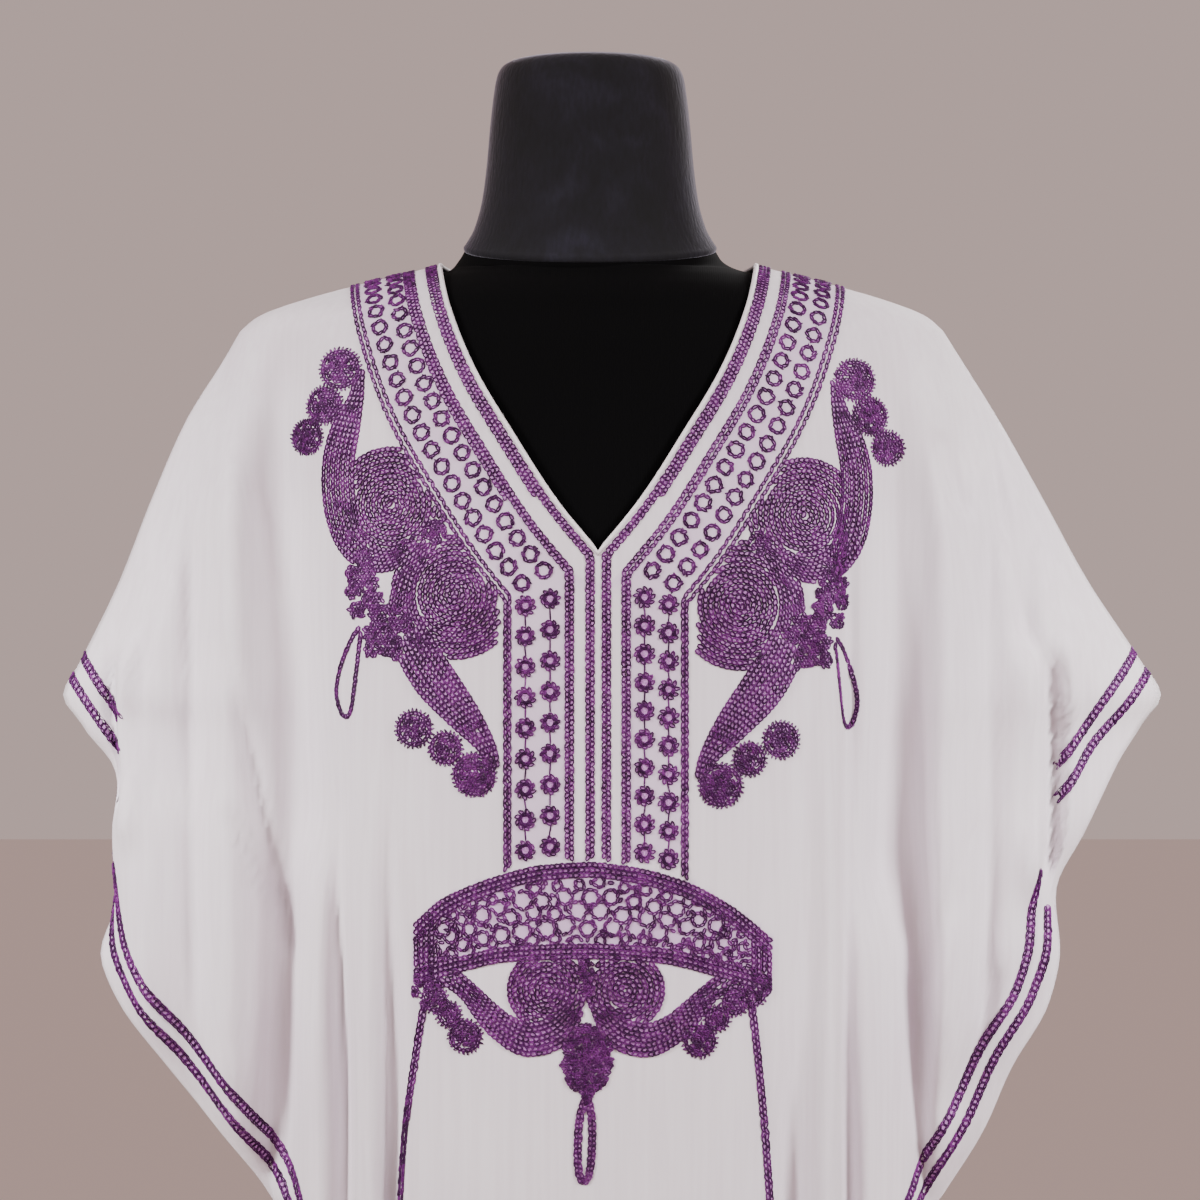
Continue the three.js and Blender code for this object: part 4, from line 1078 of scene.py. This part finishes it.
def chest_scroll(side):
    def placed(lines):
        if side == "left":
            return lines
        return [line * (-1, 1) + np.array(RIGHT_SHIFT) for line in lines]

    stems = [line for corners in SCROLL["stems"] for line in stem_rows(corners)]
    discs = [line for disc in SCROLL["discs"] for line in disc_rows(*disc)]
    part = together(
        fill(placed(rims(SCROLL["balls"])), 2.7, 3.8, 2.0, 0.6),
        tangle(placed([knotted(SCROLL["balls"])])[0]),
        tangle(placed([knotted(SCROLL["knots"], inset=1.0)])[0]),
        fill(placed(stems)),
        fill(placed(discs)),
    )
    part = apart(part, 1.75)
    x, drop = flat_places(part)
    beside = (np.abs(x) > CLEAR_OF_PLACKET) | (drop < CLEAR_TURN)
    part = where(part, (neck_distance(x, drop) > CLEAR_OF_NECK) & beside)
    loop = placed([smooth_line(SCROLL["loop"])])[0]
    loose = picots([tuple(placed([np.array([ball[:2]])])[0][0]) + ball[2:] for ball in SCROLL["balls"]])
    return together(part, loose, stitches(sewn_line(loop, 3.0), 4.6, 2.5, 0.66, zigzag=0.15))


for side in SIDES:
    sew(f"scroll_{side}_stitches", chest_scroll(side), f"scroll_{side}")

# ---------------------------------------------------------------- the waist plate
# A curved plate across the placket's foot: three close rows of chain along each edge, and between
# them a net of rings, open in the middle and closer towards the ends.

PLATE_ROWS = (1.8, 4.9, 8.0)
NET_HEIGHT = 38
NET_PITCH = 13.6
NET_MIDDLE = -5
NET_OPEN = 0.6
NET_INSET = 10.5
NET_END = 12
NET_STRAY = 1.3
HOLE_RADIUS = 4.3
HOLE_SPREAD = (0.72, 1.12)
END_PITCH = 3.2
NET_ROWS = ((0.06, 0.5, 0.55), (0.28, 0, 1), (0.52, 0.5, 0.95), (0.76, 0, 1), (0.96, 0.5, 0.55))


def plate_edge(table, x, inset):
    drop = read(table, "x", "drop", x)
    slope = np.gradient(drop, x) if np.ndim(x) else 0
    return drop + inset * np.sqrt(1 + slope**2)


def waist_plate():
    x = np.linspace(PLATE_LEFT, PLATE_RIGHT, 300)
    lines = [np.stack([x, plate_edge(PLATE_TOP, x, inset)], axis=1) for inset in PLATE_ROWS]
    lines += [np.stack([x, plate_edge(PLATE_BOTTOM, x, -inset)], axis=1) for inset in PLATE_ROWS]
    for x_end, step in ((PLATE_LEFT, 1), (PLATE_RIGHT, -1)):
        for k in range(4):
            at = x_end + step * (1 + END_PITCH * k)
            top, bottom = (float(read(table, "x", "drop", at)) for table in (PLATE_TOP, PLATE_BOTTOM))
            lines.append(straight_line([(at, top + 2), (at, bottom - 2)]))
    parts = [fill(lines, 3.2)]
    holes = []
    for share, shift, size in NET_ROWS:
        for way in (1, -1):
            at = NET_MIDDLE + NET_PITCH * way * (shift if way > 0 or shift else 1)
            while PLATE_LEFT + NET_END < at < PLATE_RIGHT - NET_END:
                top = float(read(PLATE_TOP, "x", "drop", at)) + NET_INSET
                bottom = float(read(PLATE_BOTTOM, "x", "drop", at)) - NET_INSET
                small = max(0.4, min(1, (bottom - top) / NET_HEIGHT))
                hole = HOLE_RADIUS * size * small**0.8 * JITTER.uniform(*HOLE_SPREAD)
                down = mix(top, bottom, share) + JITTER.uniform(-NET_STRAY, NET_STRAY)
                holes.append((at + JITTER.uniform(-NET_STRAY, NET_STRAY), down, hole))
                spot, normal = seen_points([holes[-1][0]], [down])
                line = {"place": spot, "normal": normal, "heading": unit(np.cross(normal, (0, 1, 0.2)))}
                parts.append(ring(line, hole + 0.8, 9 if hole > 3 else 6, 3.7, 1.6, 0.52, turn=0.4))
                at += NET_PITCH * small**0.7 * way
    net = knotted([(at, 415, 60) for at in range(-120, 121, 20)], gap=3.0)
    x, drop = net.T
    inside = (x > PLATE_LEFT + 8) & (x < PLATE_RIGHT - 8)
    inside = inside & (drop > read(PLATE_TOP, "x", "drop", x) + 10)
    inside = inside & (drop < read(PLATE_BOTTOM, "x", "drop", x) - 10)
    holes = np.array(holes)
    away = np.hypot(*(net[:, None, :] - holes[None, :, :2]).transpose(2, 0, 1)) - holes[:, 2]
    open_share = NET_OPEN * (1 - ease((np.abs(x - NET_MIDDLE) - 45) / 40))
    kept = JITTER.uniform(0, 1, len(net)) > open_share
    parts.append(tangle(net[inside & kept & (away.min(axis=1) > 0.9)]))
    return apart(together(*parts), 1.5)


sew("waist_plate_stitches", waist_plate(), "waist_plate")

# ---------------------------------------------------------------- the scroll under the waist plate
# Two filled discs side by side with a sweep on each side that ends in small balls, and in the
# middle a knotted pendant with a long loop.

WAIST = {
    "discs": [(-30.6, 443, 24), (16.2, 443, 24)],
    "sweeps": [
        [(-97, 434, 6), (-88, 437, 6.4), (-77.4, 445, 6.4), (-66.6, 457, 8), (-56, 466.4, 9.2),
         (-42, 472.6, 10.4), (-25, 467.6, 9.8), (-13, 453, 6)],
        [(86, 436, 6), (76.4, 438.6, 6.4), (66, 446, 6.4), (54.6, 457.6, 8), (44, 467, 9.2),
         (29, 472.8, 10.4), (12, 467.6, 9.8), (1, 453, 6)],
    ],
    "balls": [
        (-109.6, 445.4, 4.8), (-98.4, 449.6, 8.2), (-89.4, 458.4, 7.6), (-79.6, 471.4, 10),
        (93.4, 446, 8), (82, 451, 8.2), (71.4, 460.6, 7.8), (61, 473.6, 10),
    ],
    "pendant": [
        (-6.6, 470, 8.6), (-14.4, 477, 8), (1.6, 477, 8), (-15, 487, 8.4), (2, 487, 8.4),
        (-6.6, 484, 13), (-12, 496, 8), (-1.4, 496, 8), (-6.6, 503, 6), (-7, 424, 6), (-7, 433, 6),
        (-7, 442, 5.6), (-105, 438, 6.6), (-99, 441, 7), (96, 440, 7), (90, 441, 7),
    ],
    "loops": [
        [(-6.8, 505), (-10.6, 518), (-12, 534), (-11.6, 550), (-8.8, 557.6), (-5.2, 552), (-3.6, 536),
         (-3.8, 519), (-6.2, 506)],
        [(96, 438), (101, 440.6), (101.6, 445.4), (97, 447)],
    ],
}

waist_lines = [line for corners in WAIST["sweeps"] for line in stem_rows(corners)]
waist_lines += [line for disc in WAIST["discs"] for line in disc_rows(*disc)]
waist_part = together(
    fill(rims(WAIST["balls"][1:]), 2.7, 3.8, 2.0, 0.6),
    tangle(knotted(WAIST["balls"])),
    tangle(knotted(WAIST["pendant"], inset=1.4)),
    fill(waist_lines),
)
waist_part = apart(waist_part, 1.7)
waist_x, waist_low = flat_places(waist_part)
below_plate = waist_low > read(PLATE_BOTTOM, "x", "drop", waist_x) - 1
waist_part = together(where(waist_part, below_plate), picots(WAIST["balls"][1:]))
waist_loops = [
    stitches(sewn_line(smooth_line(corners) + (way, 0), 3.0), 4.3, 2.2, 0.56, zigzag=0.25)
    for corners in WAIST["loops"]
    for way in (-1.1, 1.1)
]
sew("waist_scroll_stitches", together(waist_part, *waist_loops), "waist_scroll")

# ---------------------------------------------------------------- the skirt's chain lines
# One open chain on each side, from the end of the plate down to the hem, spreading with the skirt.

SKIRT_LINE = columns(
    "drop left right",
    (452, 104.2, 92), (470, 107.5, 94.4), (551, 118, 102), (628, 121, 106), (1398, 121, 106),
)

for side, sign in SIDES.items():
    low = np.linspace(SKIRT_LINE["drop"][0], SKIRT_LINE["drop"][-1], 1400)
    out = read(SKIRT_LINE, "drop", side, low) * spread(side, low)
    strands = []
    for way, start in ((-1.05, 0), (1.05, 0.5)):
        line = np.stack([sign * (out + way), low], axis=1)
        strands.append(stitches(sewn_line(line, 3.8, start), 5.2, 2.2, 0.6, zigzag=0.16))
    sew(f"skirt_line_{side}_stitches", together(*strands), f"skirt_line_{side}")

# ---------------------------------------------------------------- the braids beside the cuffs
# Two ladder braids follow each cuff edge, front and back: wide chain links with open middles.

CUFF_LINES = {
    "left": columns(
        "drop outer inner",
        (268, 7, 18), (330, 7.5, 18.5), (353, 9, 20), (400, 13, 24), (560, 13, 24), (610, 10, 18),
    ),
    "right": columns(
        "drop outer inner",
        (268, 13, 23.5), (300, 17, 27.5), (345, 17, 27.5), (400, 13, 24), (560, 13, 24), (610, 10, 18),
    ),
}
# Above the pleats the braids run straight across each flap, as (x, drop), until the fold hides them.
FLAP_LINES = {
    "left": {
        "outer": [(-334, 252), (-327, 262), (-297, 304)],
        "inner": [(-327, 239), (-320, 249), (-296, 284)],
    },
    "right": {
        "outer": [(347, 252), (341, 260), (328.6, 276), (308, 299), (295, 320), (284.5, 334.5)],
        "inner": [(338, 240), (332, 248.4), (313.7, 273), (299, 293.7), (284.5, 314)],
    },
}
# How far down each braid comes out of the pleat again.
CUFF_START = {"left": {"outer": 398, "inner": 377}, "right": {"outer": 401, "inner": 383}}
CUFF_END = 594
CORNER_DROP = 271
BRAID_HALF = 1.9
RUN_ON = 45
# On the front, the stretch between flap and edge is sewn only this far behind what is seen before it.
HIDDEN = 8


def cuff_line(panel, side, column, first, last, aside):
    """Points and normals beside one braid's middle, at its distance from the cuff edge."""
    edge_drop = np.linspace(first, last, 900)
    edge = np.stack([reach_at(side, edge_drop), edge_drop], axis=1)
    along = unit(np.gradient(edge, axis=0))
    if panel == "back":
        ahead = unit(edge[50] - edge[0])
        before = np.linspace(RUN_ON, 0.4, 90)[:, None]
        edge = np.vstack([edge[0] - ahead * before, edge])
        along = np.vstack([np.tile(ahead, (90, 1)), along])
    distance = read(CUFF_LINES[side], "drop", column, edge[:, 1])[:, None] + aside
    line = edge + np.stack([-along[:, 1], along[:, 0]], axis=1) * distance
    line = line[line[:, 0] < reach_at(side, line[:, 1]) - 1]
    points = cloth_points(panel, side, line[:, 0], line[:, 1])
    nearest = [panel_trees[panel].find_nearest(Vector(point)) for point in points]
    normal = np.array([found[1] for found in nearest])
    return np.array([found[0] for found in nearest]) / MM, normal


def flap_line(side, column, aside):
    line = smooth_line(FLAP_LINES[side][column])
    ahead = unit(np.gradient(line, axis=0))
    beside = np.stack([-ahead[:, 1], ahead[:, 0]], axis=1) * aside
    points, normals = seen_points(*(line + beside).T)
    hit = ~np.isnan(points[:, 0])
    return points[hit], normals[hit]


def ladder(line_beside):
    """A ladder braid: two rails of small chain, and rungs across its pale middle."""
    rails = [
        stitches(on_line(*line_beside(way), 3.0, 0.5), 4.3, 1.5, 0.5, zigzag=0.15)
        for way in (-BRAID_HALF, BRAID_HALF)
    ]
    middle = line_beside(0)
    squares = stitches(on_line(*middle, 3.7, 0.0), 3.4, 3.2, 0.2, turn=0)
    rungs = on_line(*middle, 3.7)
    rungs["heading"] = np.cross(rungs["normal"], rungs["heading"])
    return together(*rails, squares, stitches(rungs, 4.0, 0.9, 0.46, turn=0.25))


panel_trees = {"front": front_tree, "back": tree_of(back)}
for panel in PANELS:
    for side in SIDES:
        braids = []
        for column in ("outer", "inner"):
            if panel == "back":
                braids.append(ladder(partial(cuff_line, panel, side, column, CORNER_DROP, CUFF_END)))
                continue
            fold_end = CUFF_START[side][column]
            braids.append(ladder(partial(flap_line, side, column)))
            braids.append(ladder(partial(cuff_line, panel, side, column, fold_end, CUFF_END)))
            inside = ladder(partial(cuff_line, panel, side, column, CORNER_DROP + 14, fold_end))
            in_front, _ = seen_points(*flat_places(inside))
            braids.append(where(inside, inside["place"][:, 1] - in_front[:, 1] > HIDDEN))
        braids = together(*braids)
        sew(f"cuff_trim_{panel}_{side}_stitches", braids, f"cuff_trim_{panel}_{side}")

# ---------------------------------------------------------------- the dress form
# A padded torso under black jersey, without arms, and a neck under charcoal velvet whose hem laps
# over the jersey. Its size is that of the frame's form, with smooth sides.

FORM_SIDES = 96
LID_INSET = 0.012
NECK_SHIFT = -5
SHIFT_DROPS = (-4, 9)
TORSO = columns(
    "drop half front back tilt",
    (-9, 79, 63, 63, 12),
    (-4, 82, 63, 63, 10),
    (0, 86, 61, 62, 5),
    (4, 93, 62, 62, 0),
    (9, 117, 66, 67, 0),
    (16, 148, 74, 75, 0),
    (24, 176, 81, 82, 0),
    (34, 199, 86, 87, 0),
    (52, 205, 95, 96, 0),
    (84, 200, 104, 108, 0),
    (115, 190, 111, 114, 0),
    (155, 179, 119, 116, 0),
    (195, 170, 125, 113, 0),
    (240, 162, 127, 107, 0),
    (290, 152, 116, 98, 0),
    (350, 138, 96, 86, 0),
    (412, 131, 86, 80, 0),
    (482, 148, 92, 94, 0),
    (562, 170, 104, 112, 0),
    (632, 173, 106, 116, 0),
    (662, 169, 102, 112, 0),
    (670, 159, 92, 102, 0),
)
NECK_CAP = columns(
    "rise half front back tilt",
    (8.6, 77, 61.5, 61.5, 12),
    (9.6, 79.2, 63.4, 63.4, 12),
    (11.5, 79.6, 63.8, 63.8, 11.5),
    (14, 78, 62.6, 62.6, 11),
    (23, 73, 61, 61, 9),
    (41, 68, 59, 59, 6),
    (64, 65, 58, 58, 3),
    (87, 63, 57, 57, 1),
    (112, 60, 55.5, 55.5, 0),
    (119, 58.5, 54, 54, 0),
    (124, 56, 51.5, 51.5, 0),
    (127.5, 51, 47, 47, 0),
    (129.4, 44, 41, 41, 0),
)


def oval_loft(name, table, heights, steps, material):
    """A closed body through oval rings. heights turns the table's first column to a height."""
    source = next(iter(table))
    levels = np.concatenate(
        [np.linspace(a, b, steps, endpoint=False) for a, b in zip(table[source], table[source][1:])]
        + [table[source][-1:]]
    )
    half, ahead, behind, tilt = (
        read(table, source, column, levels) for column in ("half", "front", "back", "tilt")
    )
    bm = bmesh.new()
    first = bmesh.ops.create_circle(bm, segments=FORM_SIDES, radius=1)["verts"]
    angles = {v: math.atan2(v.co.y, v.co.x) for v in first}
    for k, level in enumerate(levels):
        if k:
            edges = [e for e in bm.edges if e.verts[0] in angles and e.verts[1] in angles]
            grown = bmesh.ops.extrude_edge_only(bm, edges=edges)["geom"]
            fresh = [g for g in grown if isinstance(g, bmesh.types.BMVert)]
            before = {tuple(v.co): a for v, a in angles.items()}
            angles = {v: before[tuple(v.co)] for v in fresh}
        drop = heights(level)
        shift = NECK_SHIFT * (1 - float(ease((drop - SHIFT_DROPS[0]) / (SHIFT_DROPS[1] - SHIFT_DROPS[0]))))
        for v, angle in angles.items():
            across = math.sin(angle)
            depth = ahead[k] if across < 0 else behind[k]
            v.co = Vector(
                (shift + half[k] * math.cos(angle), depth * across, NECK_HEIGHT - drop + tilt[k] * across)
            ) * MM
    for loop in (first, list(angles)):
        edges = [e for e in bm.edges if e.verts[0] in loop and e.verts[1] in loop]
        face = bmesh.ops.contextual_create(bm, geom=edges)["faces"]
        bmesh.ops.inset_region(bm, faces=face, thickness=LID_INSET, depth=0)
    bmesh.ops.recalc_face_normals(bm, faces=bm.faces)
    return new_object(name, bm, material)


def jersey_finish():
    """Black cotton jersey, circular-knitted: matt, with a 1.4 mm rib drawn twice as coarse as knit."""
    material, shader = finish_of(
        "jersey", {"Base Color": colour("#030304"), "Roughness": 0.95, "Specular IOR Level": 0.1}
    )
    coords = add(material, "TexCoord")
    rib = add(
        material,
        "TexWave",
        {"wave_type": "BANDS", "bands_direction": "X", "Scale": 230, "Distortion": 1.5, "Detail": 1},
        {"Vector": (coords, "Object")},
    )
    bump = add(material, "Bump", {"Strength": 0.15, "Distance": 0.0004}, {"Height": (rib, "Fac")})
    join(material, bump, "Normal", shader, "Normal")
    return material


def velvet_finish():
    """Charcoal cotton velvet: a short pile that is paler where it leans towards the light, with
    crushed patches a few centimetres wide and a nap a millimetre or two long."""
    material, shader = finish_of(
        "velvet",
        {"Roughness": 0.95, "Sheen Weight": 1.0, "Sheen Roughness": 0.28, "Sheen Tint": colour("#d4d0e2")},
    )
    coords = add(material, "TexCoord")
    patch = add(
        material, "TexNoise", {"Scale": 22, "Detail": 4, "Distortion": 0.6}, {"Vector": (coords, "Object")}
    )
    nap_place = add(material, "Mapping", {"Scale": (1, 1, 0.35)}, {"Vector": (coords, "Object")})
    nap = add(material, "TexNoise", {"Scale": 420, "Detail": 3}, {"Vector": (nap_place, "Vector")})
    shade = add(
        material,
        "ValToRGB",
        {"stops": [(0.35, "#08080f"), (0.55, "#100f19"), (0.75, "#1f1e2c")]},
        {"Fac": (patch, "Fac")},
    )
    pile = add(
        material,
        "ValToRGB",
        {"stops": [(0.3, "#b8b8b8"), (0.7, "#ffffff")]},
        {"Fac": (nap, "Fac")},
    )
    both = add(
        material,
        "Mix",
        {"data_type": "RGBA", "blend_type": "MULTIPLY", 0: 1.0},
        {6: (shade, "Color"), 7: (pile, "Color")},
    )
    join(material, both, 2, shader, "Base Color")
    bump = add(material, "Bump", {"Strength": 0.5, "Distance": 0.0008}, {"Height": (nap, "Fac")})
    join(material, bump, "Normal", shader, "Normal")
    return material


torso = oval_loft("form_torso_jersey", TORSO, lambda drop: drop, 4, jersey_finish())
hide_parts("form_torso")
neck_cap = oval_loft("form_neck_velvet", NECK_CAP, lambda rise: -rise, 3, velvet_finish())
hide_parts("form_neck_cap")

# ---------------------------------------------------------------- the stand
# A steel pole in a round steel base, both with a black powder coat.

BASE_STEPS = 96


def powder_coat():
    """Black epoxy powder coat: satin, with a fine orange peel about 2 mm across."""
    material, shader = finish_of("powder_coat", {"Base Color": colour("#17171a"), "Roughness": 0.42})
    coords = add(material, "TexCoord")
    peel = add(material, "TexNoise", {"Scale": 500, "Detail": 1}, {"Vector": (coords, "Object")})
    bump = add(material, "Bump", {"Strength": 0.12, "Distance": 0.0003}, {"Height": (peel, "Fac")})
    join(material, bump, "Normal", shader, "Normal")
    return material


black_coat = powder_coat()


def turned(name, profile, material):
    """A body of revolution about the stand's axis, from (radius, height) corners in metres."""
    bm = bmesh.new()
    corners = [bm.verts.new((radius, 0, height)) for radius, height in profile]
    edges = [bm.edges.new(pair) for pair in zip(corners, corners[1:])]
    bmesh.ops.spin(
        bm, geom=corners + edges, axis=(0, 0, 1), angle=2 * math.pi, steps=BASE_STEPS, use_merge=True
    )
    bmesh.ops.remove_doubles(bm, verts=bm.verts, dist=1e-5)
    bmesh.ops.recalc_face_normals(bm, faces=bm.faces)
    return new_object(name, bm, material)


_, base_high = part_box("stand_base")
base_radius = base_high[0]
boss_top = base_high[2]
plate_top = 0.4 * boss_top
rim = 0.003
base = turned(
    "stand_base_plate",
    [
        (0, 0), (base_radius - rim, 0), (base_radius - 0.3 * rim, 0.3 * rim), (base_radius, rim),
        (base_radius, plate_top - rim), (base_radius - 0.3 * rim, plate_top - 0.3 * rim),
        (base_radius - rim, plate_top), (0.034, plate_top + rim), (0.027, plate_top + 2 * rim),
        (0.0255, boss_top - rim), (0.023, boss_top), (0, boss_top),
    ],
    black_coat,
)
edge = base.modifiers.new("edge", "BEVEL")
edge.width = 0.0008
edge.segments = 2
edge.limit_method = "ANGLE"
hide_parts("stand_base")
pole_low, pole_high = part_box("stand_pole")
pole = turned(
    "stand_pole_tube",
    [(0, pole_low[2]), (pole_high[0], pole_low[2]), (pole_high[0], pole_high[2]), (0, pole_high[2])],
    black_coat,
)
pole_edge = pole.modifiers.new("edge", "BEVEL")
pole_edge.width = 0.0006
pole_edge.segments = 2
pole_edge.limit_method = "ANGLE"
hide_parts("stand_pole")

# ---------------------------------------------------------------- the floor, the light, the camera
# A plain pale floor, a broad soft light from the front, a narrower one from each side and a stronger
# one from behind.


def plain_floor():
    bm = bmesh.new()
    bmesh.ops.create_grid(bm, x_segments=1, y_segments=1, size=20)
    mesh = bpy.data.meshes.new("floor")
    bm.to_mesh(mesh)
    bm.free()
    material, _ = finish_of("floor", {"Base Color": colour("#efe6e2"), "Roughness": 0.9})
    mesh.materials.append(material)
    made = bpy.data.objects.new("floor", mesh)
    bpy.context.collection.objects.link(made)
    return made


plain_floor()

world = bpy.data.worlds.new("studio")
bpy.context.scene.world = world
world.use_nodes = True
world.node_tree.nodes["Background"].inputs["Color"].default_value = colour("#d0b8b3")
world.node_tree.nodes["Background"].inputs["Strength"].default_value = 0.84


def area_light(name, place, aim, size, power, spread_angle=180):
    light = bpy.data.lights.new(name, "AREA")
    light.size = size
    light.energy = power
    light.spread = math.radians(spread_angle)
    made = bpy.data.objects.new(name, light)
    made.location = place
    made.rotation_euler = (Vector(aim) - Vector(place)).to_track_quat("-Z", "Y").to_euler()
    bpy.context.collection.objects.link(made)


CHEST = (0, 0, 1.25)
area_light("key", (-0.5, -1.9, 3.1), CHEST, 1.1, 9.8)
area_light("left", (-1.8, -1.4, 2.2), (-0.44, 0, 1.2), 0.6, 4.6, 34)
area_light("right", (1.8, -1.4, 2.2), (0.44, 0, 1.2), 0.6, 4.6, 34)
area_light("behind", (1.3, 2.0, 2.7), CHEST, 0.8, 45)

camera_data = bpy.data.cameras.new("camera")
camera_data.lens = 125
camera_data.sensor_width = 36
camera_data.clip_end = 100
camera = bpy.data.objects.new("camera", camera_data)
camera.location = (0.0012, -2.62, 1.299)
camera.rotation_euler = (math.pi / 2, 0, 0)
bpy.context.collection.objects.link(camera)
bpy.context.scene.camera = camera
